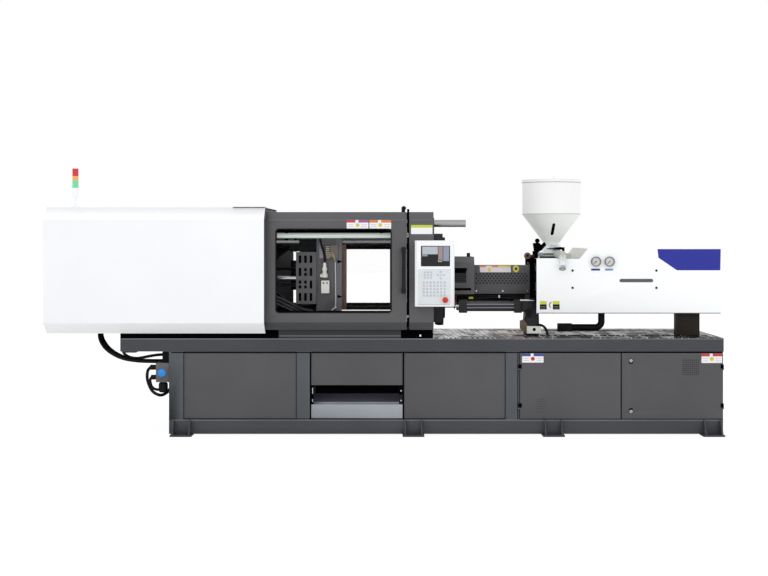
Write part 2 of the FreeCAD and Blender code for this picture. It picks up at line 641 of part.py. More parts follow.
def crosshead():
    back, front = head_x - s.crosshead_back, head_x + s.crosshead_front
    half = s.crosshead_half
    block = box("crosshead_block", (back, -half, s.machine_axis - s.guide_height - 24),
                (front, half, s.machine_axis + s.guide_height + 24))
    ears = [box(f"crosshead_ear_{side}", (head_x - s.small_boss, -half,
                                          s.machine_axis + (s.guide_height if side > 0
                                                            else -s.crosshead_pin)),
                (head_x + s.crosshead_front, half,
                 s.machine_axis + (s.crosshead_pin if side > 0 else -s.guide_height)))
            for side in SIDES]
    eyes = [rod(f"crosshead_eye_{side}", "Y", (head_x, -half,
                                               s.machine_axis + side * s.crosshead_pin),
                2 * half, s.crosshead_front) for side in SIDES]
    pin_half = layer_one + s.link_thick
    pins = [rod(f"crosshead_pin_{side}", "Y", (head_x, -pin_half,
                                               s.machine_axis + side * s.crosshead_pin),
                2 * pin_half, s.small_pin) for side in SIDES]
    piston_rod = rod("piston_rod_bar", "X", (back - s.rod_back, 0, s.machine_axis),
                     s.rod_back + 5, s.piston_rod)
    piston = rod("piston", "X", (back - s.rod_back - 5, 0, s.machine_axis), 50,
                 s.piston_radius - s.running_gap)
    bores = [rod(f"crosshead_bore_{side}", "X", (back - 1, 0,
                                                 s.machine_axis + side * s.guide_height),
                 s.crosshead_back + s.crosshead_front + 2, s.guide_rod + s.running_gap)
             for side in SIDES]
    node("crosshead", cut("crosshead_body", fuse("crosshead_blank", block, *ears, *eyes, *pins,
                                                 piston_rod, piston), *bores))


def link_bar(name, y_low, y_high, ends, holes, stubs, bend=1):
    """A flat link in its own frame: bosses joined by straight flanks, bored, with stub pins.

    ends lists (along, up, boss radius), holes (along, up, radius) and stubs (along, up, radius,
    low Y, high Y). One flank joins the first two bosses. The other, above for a bend of 1 and
    below for -1, takes in any further boss on the way back.
    """
    thick = y_high - y_low
    parts = [rod(f"{name}_boss_{index}", "Y", (along, y_low, up), thick, radius)
             for index, (along, up, radius) in enumerate(ends)]
    flanks = [(along, as_length(up) - bend * 0.86 * radius) for along, up, radius in ends[:2]]
    flanks += [(along, as_length(up) + bend * 0.86 * radius)
               for along, up, radius in (*ends[1:], ends[0])]
    parts.append(prism(f"{name}_web", "XZ", flanks, y_low, y_high))
    bored = cut(f"{name}_bored", fuse(f"{name}_blank", *parts),
                *[rod(f"{name}_hole_{index}", "Y", (along, y_low - 1, up), thick + 2, radius)
                  for index, (along, up, radius) in enumerate(holes)])
    pins = [rod(f"{name}_stub_{index}", "Y", (along, low, up), high - low, radius)
            for index, (along, up, radius, low, high) in enumerate(stubs)]
    return fuse(f"{name}_plate", bored, *pins) if pins else bored


def set_link(name, label, plates, x, z, along, up):
    """Turns a link about its first pin, so that it points along and up, and moves it there."""
    link = group(name, *plates)
    turn_about(link, FreeCAD.Vector(0, -1, 0), as_length(along).turn_to(up))
    place(link, x, 0, z)
    node(label, link)


def toggle_links():
    """Rear, front and cross links. The lower set mirrors the upper one about the axis.

    The knee and the cross link's upper pin stay open: each link carries half of the pin as a
    stub in its own layer, so the two halves meet face to face with a small gap.
    """
    gap, thick = s.running_gap, s.link_thick
    meet = s.layer_gap / 2 - s.stub_gap
    for side, tag in ((1, "upper"), (-1, "lower")):
        z_pivot = s.machine_axis + side * s.pivot_height
        rear, front, cross = [], [], []
        for y_side in SIDES:
            one, two, three = [span(y_side, low, low + thick)
                               for low in (layer_one, layer_two, layer_three)]
            out, into = (two[0], two[1] + meet), (two[0] - meet, two[1])
            if y_side < 0:
                out, into = (two[0] - meet, two[1]), (two[0], two[1] + meet)
            bent = side * -s.cross_pin_in
            rear.append(link_bar(
                f"rear_{tag}_{y_side}", two[0], two[1],
                [(0, 0, s.main_boss), (s.rear_link, 0, s.main_boss),
                 (s.cross_pin_along, bent, s.small_boss)],
                [(0, 0, s.main_pin + gap)],
                [(s.rear_link, 0, s.main_pin, out[0], out[1]),
                 (s.cross_pin_along, bent, s.small_pin, into[0], into[1])], -side))
            hub = span(y_side, layer_three - meet, layer_three)
            front.append(link_bar(
                f"front_{tag}_{y_side}", three[0], three[1],
                [(0, 0, s.main_boss), (s.front_link, 0, s.main_boss)],
                [(0, 0, s.main_pin + gap)],
                [(s.front_link, 0, s.main_pin, hub[0], hub[1])]))
            hub = span(y_side, layer_one + thick, layer_one + thick + meet)
            cross.append(link_bar(
                f"cross_{tag}_{y_side}", one[0], one[1],
                [(0, 0, s.small_boss), (s.cross_link, 0, s.small_boss)],
                [(0, 0, s.small_pin + gap)],
                [(s.cross_link, 0, s.small_pin, hub[0], hub[1])]))
        set_link(f"rear_set_{tag}", f"rear_link_{tag}", rear, pivot_x, z_pivot,
                 knee_along, -side * knee_in)
        set_link(f"front_set_{tag}", f"front_link_{tag}", front, pivot_x + open_reach, z_pivot,
                 knee_along - open_reach, -side * knee_in)
        set_link(f"cross_set_{tag}", f"cross_link_{tag}", cross, head_x,
                 s.machine_axis + side * s.crosshead_pin,
                 link_pin_along - head_along, side * head_drop)


def moving_platen():
    plate = platen_block("moving_plate", moving_left)
    high = s.pivot_height + s.lug_radius
    walls = [box(f"rear_wall_{index}", (box_left, strip[0], s.machine_axis - high),
                 (moving_left + 1, strip[1], s.machine_axis + high))
             for index, strip in enumerate(span(side, s.rear_wall_in, s.rear_wall_out)
                                           for side in SIDES)]
    arms = lugs("moving_lug", box_left + 5, pivot_x + open_reach, layer_two,
                layer_two + s.link_thick)
    pins = main_pins("moving", pivot_x + open_reach)
    bracket, bar_bore = bar_bracket("moving_bracket", bar_left, s.running_gap)
    rod_holes = [rod(f"ejector_hole_{side}", "X", (moving_left - 1, 0,
                                                   s.machine_axis + side * s.ejector_half * 0.7),
                     s.platen_thick + 2, s.ejector_rod + s.running_gap) for side in SIDES]
    holes = tie_bores("moving", moving_left, moving_right, s.tie_radius + s.running_gap)
    holes += bolt_holes("moving", moving_right, -1)
    body = fuse("moving_block", plate, *walls, *arms, *pins, bracket,
                *shoes("moving", moving_left, moving_right))
    node("moving_platen", cut("moving_platen_body", body, bar_bore, *rod_holes, *holes))


def ejector_plate():
    left = box_left + s.ejector_set_back
    half = s.rear_wall_in - s.seat_gap
    plate = box("ejector_block", (left, -half, s.machine_axis - s.ejector_half),
                (left + s.ejector_thick, half, s.machine_axis + s.ejector_half))
    rods = [rod(f"ejector_rod_{side}", "X", (left + s.ejector_thick - 1, 0,
                                             s.machine_axis + side * s.ejector_half * 0.7),
                moving_right - s.ejector_set_back - left - s.ejector_thick, s.ejector_rod)
            for side in SIDES]
    node("ejector_plate", fuse("ejector_body", plate, *rods))


def platen_guard():
    """A folded sheet over the operator's side of the moving platen, with rows of slots."""
    left, right = moving_left - s.guard_reach, moving_left
    face, back = -s.guard_face, -s.platen_half
    shell = cut("guard_shell", box("guard_blank", (left, face, s.guard_low), (right, back,
                                                                              s.guard_high)),
                box("guard_hollow", (left + s.guard_sheet, face + s.guard_sheet,
                                     s.guard_low + s.guard_sheet),
                    (right - s.guard_sheet, back + 1, s.guard_high - s.guard_sheet)))
    column = (right - left) / 4
    row_step = (s.guard_high - s.guard_low) / 4.5
    slots = [box(f"guard_slot_{across}_{up}",
                 (left + column * (across + 0.72), face - 1, s.guard_low + row_step * (up + 0.6)),
                 (left + column * (across + 0.72) + s.slot_height, face + s.guard_sheet + 1,
                  s.guard_low + row_step * (up + 0.6) + s.slot_length))
             for across in range(3) for up in range(4)]
    node("platen_guard", cut("guard_plate", shell, *slots))


def safety_bar():
    node("safety_bar", rod("safety_bar_rod", "X", (bar_left, -s.bar_offset, s.bar_height),
                           s.bar_right - bar_left, s.bar_radius))


# ---------------------------------------------------------------------------- guards and doors

door_fold, door_low_fold = s.door_top - s.door_top_bevel, s.door_low + s.door_low_bevel
white_fold, white_low_fold = s.white_top - s.white_top_bevel, s.white_low + s.white_low_bevel
window_left, window_right = -s.door_left + s.window_side, s.door_right - s.handle_strip
window_low, window_high = s.door_low + s.window_rise, s.door_top - s.window_drop
rail_face = s.door_back - s.seat_gap
rail_top = s.door_top - s.sheet - s.seat_gap
rail_low = rail_top - s.rail_height
rail_base_top = beam_top + s.rail_base + s.deck_sheet


def guard_frame():
    """Rails that carry and guide the doors, with the posts and cross bars that hold them."""
    parts = []
    left, right = -s.white_left + s.sheet, s.end_guard_right - s.sheet
    beam_left = -(s.base_left + s.beam_overhang)
    for side in SIDES:
        tag = "front" if side < 0 else "rear"
        strip = span(side, s.rail_inner, rail_face)
        parts.append(box(f"top_rail_{tag}", (left, strip[0], rail_low), (right, strip[1],
                                                                         rail_top)))
        strip = span(side, s.hanger_reach, s.base_half)
        parts.append(box(f"low_rail_{tag}", (beam_left, strip[0], beam_top),
                         (right, strip[1], rail_base_top)))
        web = span(side, s.hanger_reach + 20, s.hanger_reach + 20 + s.rail_web)
        parts.append(box(f"low_web_{tag}", (beam_left, web[0], rail_base_top),
                         (right, web[1], s.door_low - s.seat_gap)))
        strip = span(side, s.rail_inner, s.rail_inner + s.post_depth)
        for index, x in enumerate((beam_left + 20, s.end_guard_left + 10)):
            parts.append(box(f"rail_post_{tag}_{index}", (x, strip[0], beam_top),
                             (x + 40, strip[1], rail_low)))
    for index, x in enumerate((left, -s.white_right - 60)):
        parts.append(box(f"roof_bar_{index}", (x, -s.rail_inner - s.post_depth, rail_top),
                         (x + 40, s.rail_inner + s.post_depth, s.white_top - s.sheet)))
    node("guard_frame", group("guard_members", *parts))


def folded_skin(tag, side, left, right):
    """A door's or guard's folded sheet: face, chamfered top with hanger, bevelled foot."""
    face, back, bevel = s.door_face, s.door_back, s.door_chamfer
    w = s.sheet
    outer = [(back, s.door_low), (bevel, s.door_low), (face, door_low_fold),
             (face, door_fold), (bevel, s.door_top), (s.hanger_reach, s.door_top),
             (s.hanger_reach, s.door_top - w), (back, s.door_top - w)]
    inner = [(back - 1, s.door_low + w), (bevel - w / 2, s.door_low + w),
             (face - w, door_low_fold + w / 2), (face - w, door_fold - w / 2),
             (bevel - w / 2, s.door_top - w), (back - 1, s.door_top - w)]
    signed = [[(side * y, z) for y, z in outline] for outline in (outer, inner)]
    blank = prism(tag + "_blank", "YZ", signed[0], left, right)
    return cut(tag, blank, prism(tag + "_hollow", "YZ", signed[1], left + w, right - w))


def rounded_hole(name, low, high, radius):
    """A tool that cuts a hole with round corners through the strip of Y between two corners."""
    (left, front, bottom), (right, rear, top) = low, high
    bars = [box(name + "_wide", (left, front, as_length(bottom) + radius),
                (right, rear, as_length(top) - radius)),
            box(name + "_tall", (as_length(left) + radius, front, bottom),
                (as_length(right) - radius, rear, top))]
    corners = [rod(f"{name}_corner_{across}_{up}", "Y",
                   (as_length(right) - radius if across else as_length(left) + radius, front,
                    as_length(top) - radius if up else as_length(bottom) + radius),
                   as_length(rear) - front, radius) for across in (0, 1) for up in (0, 1)]
    return fuse(name, *bars, *corners)


def sliding_door(tag, side, window_left, high):
    """A sliding door with a rounded window; returns the skin and the pane behind it."""
    skin = folded_skin(tag + "_skin", side, -s.door_left, s.door_right)
    strip = span(side, s.door_face - 10, s.door_face + 10)
    opening = rounded_hole(tag + "_opening", (window_left, strip[0], window_low),
                           (window_right, strip[1], high), s.window_corner)
    pane_strip = span(side, s.door_face - s.sheet - s.pane, s.door_face - s.sheet)
    pane = box(tag + "_pane", (window_left - s.pane_lap, pane_strip[0],
                               window_low - s.pane_lap),
               (window_right + s.pane_lap, pane_strip[1], high + s.pane_lap))
    return cut(tag + "_framed", skin, opening), pane


def door_handle(tag, side):
    """A bar handle on two stand-off legs, each with a round foot."""
    x, out = s.handle_x, side * (s.door_face + s.handle_out)
    legs = []
    for up in SIDES:
        strip = span(side, s.door_face, s.door_face + s.handle_out)
        z = s.handle_mid + up * (s.handle_half - 20)
        legs.append(rod(f"{tag}_leg_{up}", "Y", (x, strip[0], z), strip[1] - strip[0],
                        s.handle_radius))
    bar = rod(tag + "_bar", "Z", (x, out, s.handle_mid - s.handle_half), 2 * s.handle_half,
              s.handle_radius + 2)
    return fuse(tag, bar, *legs)


def doors():
    skin, pane = sliding_door("front", -1, window_left, window_high)
    switch_dog = rod("switch_dog", "Z", (s.handle_x, -(s.hanger_reach + 25), s.door_top), 38, 14)
    node("front_door", group("front_door_set", fuse("front_door_skin", skin, switch_dog),
                             door_handle("front_handle", -1)))
    node("front_window", pane)
    skin, pane = sliding_door("rear", 1, -s.door_left + s.rear_window_side,
                              s.door_top - s.rear_window_drop)
    node("rear_door", group("rear_door_set", skin, door_handle("rear_handle", 1)))
    node("rear_window", pane)
    node("end_guards", group("end_guard_pair", *[
        folded_skin(f"end_guard_{index}", side, s.end_guard_left, s.end_guard_right)
        for index, side in enumerate(SIDES)]))


def white_side(tag, side, face):
    """One side of the clamp guard as a folded sheet: roof lap, chamfer, face, bevel, foot lip."""
    w = s.sheet
    lip = s.hanger_reach + 34
    outer = [(lip, s.white_low), (s.white_chamfer, s.white_low), (face, white_low_fold),
             (face, white_fold), (s.white_chamfer, s.white_top)]
    inner = [(s.white_chamfer, s.white_top - w), (face - w, white_fold - w / 2),
             (face - w, white_low_fold + w / 2), (s.white_chamfer - w / 2, s.white_low + w),
             (lip, s.white_low + w)]
    outline = [(side * y, z) for y, z in outer + inner]
    return prism(tag, "YZ", outline, -s.white_left, -s.white_right)


def clamp_guard():
    w = s.sheet
    top = s.white_top
    front = white_side("white_front", -1, s.white_front)
    rear = white_side("white_rear", 1, s.white_rear)
    roof = box("white_roof", (-s.white_left, -s.white_chamfer, top - w),
               (-s.white_right, s.white_chamfer, top))
    end_outline = [(-s.white_chamfer + w, s.white_low + w), (-s.white_front + w,
                                                             white_low_fold + w / 2),
                   (-s.white_front + w, white_fold - w / 2), (-s.white_chamfer, top - w),
                   (s.white_chamfer, top - w), (s.white_rear - w, white_fold - w / 2),
                   (s.white_rear - w, white_low_fold + w / 2), (s.white_chamfer - w,
                                                                 s.white_low + w)]
    end = prism("white_end", "YZ", end_outline, -s.white_left, -s.white_left + w)
    node("clamp_guard", group("clamp_guard_sheets", front, rear, roof, end))


def work_lamp():
    y = -s.lamp_y
    tube = rod("lamp_tube", "X", (window_left, y, s.lamp_z), window_right - window_left,
               s.lamp_radius)
    hangers = [box(f"lamp_hanger_{index}", (x, y - s.hanger / 2, s.lamp_z),
                   (x + s.hanger, y + s.hanger / 2, rail_low))
               for index, x in enumerate((window_left + 60, window_right - 80))]
    node("work_lamp", fuse("lamp_body", tube, *hangers))


def signal_lamp():
    x, y = -s.signal_x, -s.signal_y
    foot = rod("signal_foot", "Z", (x, y, s.white_top), 8, s.signal_radius + 14)
    pole = rod("signal_pole_tube", "Z", (x, y, s.white_top), s.signal_base_z - s.white_top,
               s.signal_pole)
    base = rod("signal_base_ring", "Z", (x, y, s.signal_base_z - 30), s.lens_base + 30,
               s.signal_radius)
    node("signal_base", fuse("signal_base_body", foot, pole, base))
    low, step = s.signal_base_z + s.lens_base, s.lens_height
    lenses = [rod(f"signal_lens_{index}", "Z", (x, y, low + step * index), step,
                  s.signal_radius - 1) for index in range(3)]
    cap = rod("signal_cap_disc", "Z", (x, y, low + step * 3), s.signal_cap,
              s.signal_radius)
    node("signal_lenses", group("signal_stack", *lenses, cap))


# ---------------------------------------------------------------------------- operator's panel

def control_panel():
    left, right, low, high = s.panel_left, s.panel_right, s.panel_bottom, s.panel_top
    front, back = -s.panel_face, -s.door_face
    bevel = s.panel_bevel
    outline = [(left, back), (left, front + bevel), (left + bevel, front),
               (right - bevel, front), (right, front + bevel), (right, back)]
    case = prism("panel_case", "XY", outline, low, high)
    screen_left, screen_right = left + s.screen_left_inset, right - s.screen_right_inset
    screen_high = high - s.screen_drop
    screen_low = screen_high - s.screen_tall
    stop_x, stop_z = right - s.stop_inset, low + s.stop_rise
    recess = box("screen_recess", (screen_left, front - 1, screen_low),
                 (screen_right, front + 6, screen_high))
    stop_hole = rod("stop_hole", "Y", (stop_x, front - 1, stop_z), 32,
                    s.stop_radius * 0.5 + s.running_gap)
    node("control_box", cut("control_case", case, recess, stop_hole))
    node("control_screen", box("screen_glass", (screen_left + 1, front + 2, screen_low + 1),
                               (screen_right - 1, front + 6, screen_high - 1)))
    cap_front = front - s.stop_travel - s.stop_height
    cap = rod("stop_cap", "Y", (stop_x, cap_front, stop_z), s.stop_height - 2,
              s.stop_radius)
    stem = rod("stop_stem", "Y", (stop_x, cap_front + 4, stop_z),
               s.stop_height + s.stop_travel + 16, s.stop_radius * 0.5)
    node("stop_button", fuse("stop_body", cap, stem))


# ---------------------------------------------------------------------------- injection unit

rail_top_z = s.deck_height + s.slide_rail_height
shoe_low = rail_top_z + s.seat_gap
casting_right = s.casting_left + s.casting_thick
feed_left, feed_right = s.hopper_x - s.feed_reach, s.hopper_x + s.feed_reach


def injection_frame():
    """Front casting, two beams, feed block, cross plates, rear legs and injection rods."""
    axis = s.machine_axis
    half, arch = s.casting_half, 130
    outline = [(-half, shoe_low), (-half, shoe_low + 90), (-half + 60, s.casting_top),
               (half - 60, s.casting_top), (half, shoe_low + 90), (half, shoe_low),
               (arch, shoe_low), (arch - 30, shoe_low + 90), (-arch + 30, shoe_low + 90),
               (-arch, shoe_low)]
    casting = prism("front_casting", "YZ", outline, s.casting_left, casting_right)
    parts = [casting]
    beam_high = s.frame_beam_low + s.frame_beam_height
    for index, side in enumerate(SIDES):
        strip = span(side, s.frame_beam_y, s.frame_beam_y + s.frame_beam_width)
        parts.append(box(f"frame_beam_{index}", (casting_right - 1, strip[0], s.frame_beam_low),
                         (s.rear_leg_right, strip[1], beam_high)))
        leg = span(side, s.slide_rail_y - 40, s.slide_rail_y + 40)
        leg_left = s.rear_leg_left if side < 0 else s.far_leg_left
        parts.append(box(f"rear_leg_{index}", (leg_left, leg[0], shoe_low),
                         (s.rear_leg_right, leg[1], s.frame_beam_low + 1)))
    wide = s.housing_half - s.sheet - s.seat_gap
    parts.append(box("feed_saddle", (feed_left, -wide, beam_high - 1),
                     (feed_right, wide, s.feed_low + 1)))
    parts.append(box("rear_plate", (s.rear_leg_right - 60, -wide, beam_high - 1),
                     (s.rear_leg_right, wide, axis + 130)))
    parts.append(box("feed_block", (feed_left, -s.feed_half, s.feed_low),
                     (feed_right, s.feed_half, s.housing_step)))
    parts += [rod(f"inject_rod_{index}", "X", (feed_right - 1, y, axis),
                  s.rear_leg_right - 59 - feed_right, s.inject_rod)
              for index, y in enumerate(mirror_y(s.inject_y))]
    ears = [box(f"inject_ear_{index}", (feed_right - 60, y - 40, s.feed_low),
                (feed_right, y + 40, axis + 50)) for index, y in enumerate(mirror_y(s.inject_y))]
    barrel_bore = rod("barrel_seat", "X", (feed_left - 1, 0, axis), feed_right - feed_left + 2,
                      s.barrel_radius + s.running_gap)
    throat = rod("feed_throat", "Z", (s.hopper_x, 0, axis), s.housing_step - axis + 1,
                 s.feed_bore)
    node("injection_frame", cut("injection_frame_body",
                                fuse("injection_frame_blank", *parts, *ears), barrel_bore, throat))


def carriage_conduit():
    """The thick conduit under the carriage's beam, bent forward to the plug at its end."""
    x, y, z, r, bend = s.conduit_x, -s.conduit_y, s.conduit_z, s.conduit_radius, s.conduit_bend
    plug_right = s.plug_left + s.plug_length
    drop = rod("conduit_drop", "Z", (x, y, z + bend), s.frame_beam_low - z - bend, r)
    elbow = doc.addObject("Part::Torus", "conduit_elbow")
    bind(elbow, "Radius1", bend)
    bind(elbow, "Radius2", r)
    elbow.Angle3 = 90
    elbow.Placement = FreeCAD.Placement(FreeCAD.Vector(), TURN_TO["Y"])
    place(elbow, x - bend, y, z + bend)
    run = rod("conduit_run", "X", (plug_right - 1, y, z), x - bend - plug_right + 1, r)
    plug = box("conduit_plug", (s.plug_left, y - s.plug_half, z - s.plug_rise),
               (plug_right, y + s.plug_half, z + s.plug_rise))
    node("carriage_conduit", fuse("conduit_body", drop, elbow, run, plug))


def barrel_and_screw():
    axis = s.machine_axis
    start = s.nozzle_root + s.nozzle_length
    tube = rod("barrel_tube", "X", (start, 0, axis), s.barrel_end - start, s.barrel_radius)
    nozzle = cone("nozzle_taper", "X", (s.nozzle_root, 0, axis), s.nozzle_length,
                  s.nozzle_radius, s.barrel_radius * 0.85)
    tip = rod("nozzle_barrel", "X", (s.nozzle_tip, 0, axis), s.nozzle_root - s.nozzle_tip + 1,
              s.nozzle_radius)
    bore = rod("barrel_bore_hole", "X", (start - 10, 0, axis), s.barrel_end - start + 11,
               s.barrel_bore)
    sprue = rod("nozzle_bore", "X", (s.nozzle_tip - 1, 0, axis), start - s.nozzle_tip + 2, 4)
    throat = rod("barrel_throat", "Z", (s.hopper_x, 0, axis), s.barrel_radius + 1, s.feed_bore * 0.7)
    node("barrel", cut("barrel_body", fuse("barrel_blank", tube, nozzle, tip), bore, sprue, throat))

    body = rod("screw_shaft", "X", (start, 0, axis), s.thrust_left - start + 20, s.screw_root)
    point = cone("screw_point", "X", (start - 8, 0, axis), 9, 2, s.screw_root)
    node("injection_screw", fuse("screw_body", body, point))

    left = s.thrust_left
    plate = box("thrust_plate", (left, -s.thrust_half, axis - 110),
                (left + s.thrust_thick, s.thrust_half, axis + 110))
    motor = rod("screw_motor", "X", (left + s.thrust_thick - 1, 0, axis), s.drive_length,
                s.drive_radius)
    shaft_hole = rod("thrust_hole", "X", (left - 1, 0, axis), 40, s.screw_root + s.running_gap)
    rod_holes = [rod(f"thrust_bore_{index}", "X", (left - 1, y, axis), s.thrust_thick + 2,
                     s.inject_rod + s.running_gap) for index, y in enumerate(mirror_y(s.inject_y))]
    relief = [rod(f"motor_relief_{index}", "X", (left + s.thrust_thick, y, axis),
                  s.drive_length + 1, s.inject_rod + 6) for index, y in enumerate(mirror_y(s.inject_y))]
    node("screw_drive", cut("screw_drive_body", fuse("screw_drive_blank", plate, motor),
                            shaft_hole, *rod_holes, *relief))


def barrel_cover():
    half, low, high = s.cover_half, s.cover_low, s.cover_high
    w = s.sheet

    def outline(inset):
        bevel_z = high - s.cover_bevel
        side, top = half - inset, half - s.cover_bevel_in - inset / 2
        return [(-side, low + inset), (-side, bevel_z - inset / 2), (-top, high - inset),
                (top, high - inset), (side, bevel_z - inset / 2), (side, low + inset)]

    shell = cut("cover_shell", prism("cover_blank", "YZ", outline(0), s.cover_left, s.cover_right),
                prism("cover_hollow", "YZ", outline(w), s.cover_left - 1, s.cover_right + 1))
    stands = [box(f"cover_stand_{index}", (x, -half + w - 1, s.machine_axis - 6),
                  (x + 12, -s.barrel_radius - s.seat_gap, s.machine_axis + 6))
              for index, x in enumerate((s.cover_left + 20, s.cover_right - 40))]
    node("barrel_cover", fuse("barrel_cover_body", shell, *stands))


def injection_housing():
    """A folded cover over the unit, low at the hopper and higher behind it, open below."""
    w = s.sheet
    left, right, low = s.housing_left, s.housing_right, s.housing_low

    def outline(inset, floor):
        return [(left + inset, floor), (left + inset, s.housing_step - inset),
                (s.step_start + inset / 2, s.housing_step - inset),
                (s.step_end + inset / 2, s.housing_top - inset), (right - inset, s.housing_top - inset),
                (right - inset, floor)]

    half = s.housing_half
    blank = prism("housing_blank", "XZ", outline(0, low), -half, half)
    hollow = prism("housing_hollow", "XZ", outline(w, low - 1), -half + w, half - w)
    mouth = box("housing_mouth", (left - 1, -half + 60, low - 1), (left + w + 1, half - 60,
                                                                  s.housing_step - 35))
    neck = box("neck_opening", (feed_left - 2, -s.feed_half - 2, s.housing_step - w - 1),
               (feed_right + 2, s.feed_half + 2, s.housing_step + 1))
    vent = box("vent_slot", (s.vent_left, -half - 1, s.vent_low), (s.vent_right, -half + w + 1,
                                                                  s.vent_high))
    node("injection_housing", cut("housing_shell", blank, hollow, mouth, neck, vent))


def pull_cylinders():
    rods, tubes = [], []
    wall = s.fixed_face + s.platen_thick
    for index, y in enumerate(mirror_y(s.pull_y)):
        bar = rod(f"pull_bar_{index}", "X", (wall, y, s.pull_z), s.piston_x - wall + 1, s.pull_rod)
        head = rod(f"pull_piston_{index}", "X", (s.piston_x, y, s.pull_z), s.piston_length,
                   s.pull_bore - s.running_gap)
        rods.append(fuse(f"pull_rod_{index}", bar, head))
        tube = rod(f"pull_tube_{index}", "X", (s.pull_left, y, s.pull_z),
                   s.casting_left - s.pull_left, s.pull_radius)
        cap = rod(f"pull_cap_{index}", "X", (s.pull_left, y, s.pull_z), s.pull_cap,
                  s.pull_cap_radius)
        bore = rod(f"pull_bore_{index}", "X", (s.pull_left + s.pull_cap, y, s.pull_z),
                   s.casting_left - s.pull_left - s.pull_cap - 20, s.pull_bore)
        gland = rod(f"pull_gland_{index}", "X", (s.pull_left - 1, y, s.pull_z), s.pull_cap + 2,
                    s.pull_rod + s.running_gap)
        tubes.append(cut(f"pull_cylinder_{index}", fuse(f"pull_blank_{index}", tube, cap), bore,
                         gland))
    node("pull_rods", group("pull_rod_pair", *rods))
    node("pull_cylinders", group("pull_cylinder_pair", *tubes))


# ---------------------------------------------------------------------------- hopper

def hopper():
    """A cone under a drum, and the lid that hinges at the drum's rim."""
    x, w = s.hopper_x, s.sheet
    cone_high = s.hopper_cone_top - s.hopper_low
    funnel = fuse("funnel_outside",
                  cone("hopper_cone", "Z", (x, 0, s.hopper_low), cone_high, s.throat_radius,
                       s.hopper_radius),
                  rod("hopper_flange_ring", "Z", (x, 0, s.hopper_low), s.flange_thick,
                      s.hopper_flange))
    drum_low = s.hopper_cone_top + s.seat_gap
    drum = fuse("drum_outside",
                rod("hopper_drum", "Z", (x, 0, drum_low), s.hopper_high - drum_low,
                    s.hopper_radius),
                rod("hopper_rim", "Z", (x, 0, s.hopper_high - 16), 16, s.hopper_radius + 4))
    slope = (s.hopper_radius - s.throat_radius) / cone_high
    thin = w * 1.4  # the cone's wall measured level, where the slope makes it wider
    funnel_space = cone("hopper_cone_space", "Z", (x, 0, s.hopper_low - 1), cone_high + 1,
                        s.throat_radius - thin - slope, s.hopper_radius - thin)
    drum_space = rod("hopper_drum_space", "Z", (x, 0, drum_low - 1), s.hopper_high - drum_low + 2,
                     s.hopper_radius - w)
    ears = []
    for side in SIDES:
        low_x = x + side * 24 - 4
        ears.append(box(f"lid_ear_{side}", (low_x, s.hopper_radius, s.hopper_high - 16),
                        (low_x + 8, s.lid_hinge + 8, s.hopper_high)))
        ears.append(rod(f"lid_eye_{side}", "X", (low_x, s.lid_hinge, s.hopper_high), 8, 8))
    pin = rod("lid_hinge_pin", "X", (x - 28, s.lid_hinge, s.hopper_high), 56, s.lid_pin)
    node("hopper", group("hopper_body", cut("funnel", funnel, funnel_space),
                         fuse("drum", cut("drum_shell", drum, drum_space), *ears, pin)))

    seat = s.hopper_high + s.seat_gap
    disc = rod("lid_disc", "Z", (x, 0, seat), s.lid_thick, s.lid_radius)
    dome = cone("lid_dome", "Z", (x, 0, seat + s.lid_thick), s.lid_rise, s.lid_radius - 4,
                s.lid_radius * 0.45)
    knuckle = rod("lid_knuckle", "X", (x - 19, s.lid_hinge, s.hopper_high), 38, s.lid_pin + 4)
    tab = box("lid_tab", (x - 19, s.lid_radius - 12, seat), (x + 19, s.lid_hinge, seat + s.lid_thick))
    knob = rod("lid_knob", "Z", (x, -s.lid_radius * 0.7, seat + s.lid_thick), 24, 9)
    bore = rod("lid_bore", "X", (x - 30, s.lid_hinge, s.hopper_high), 60,
               s.lid_pin + s.running_gap)
    node("hopper_lid", cut("lid_body", fuse("lid_blank", disc, dome, knuckle, tab, knob), bore))


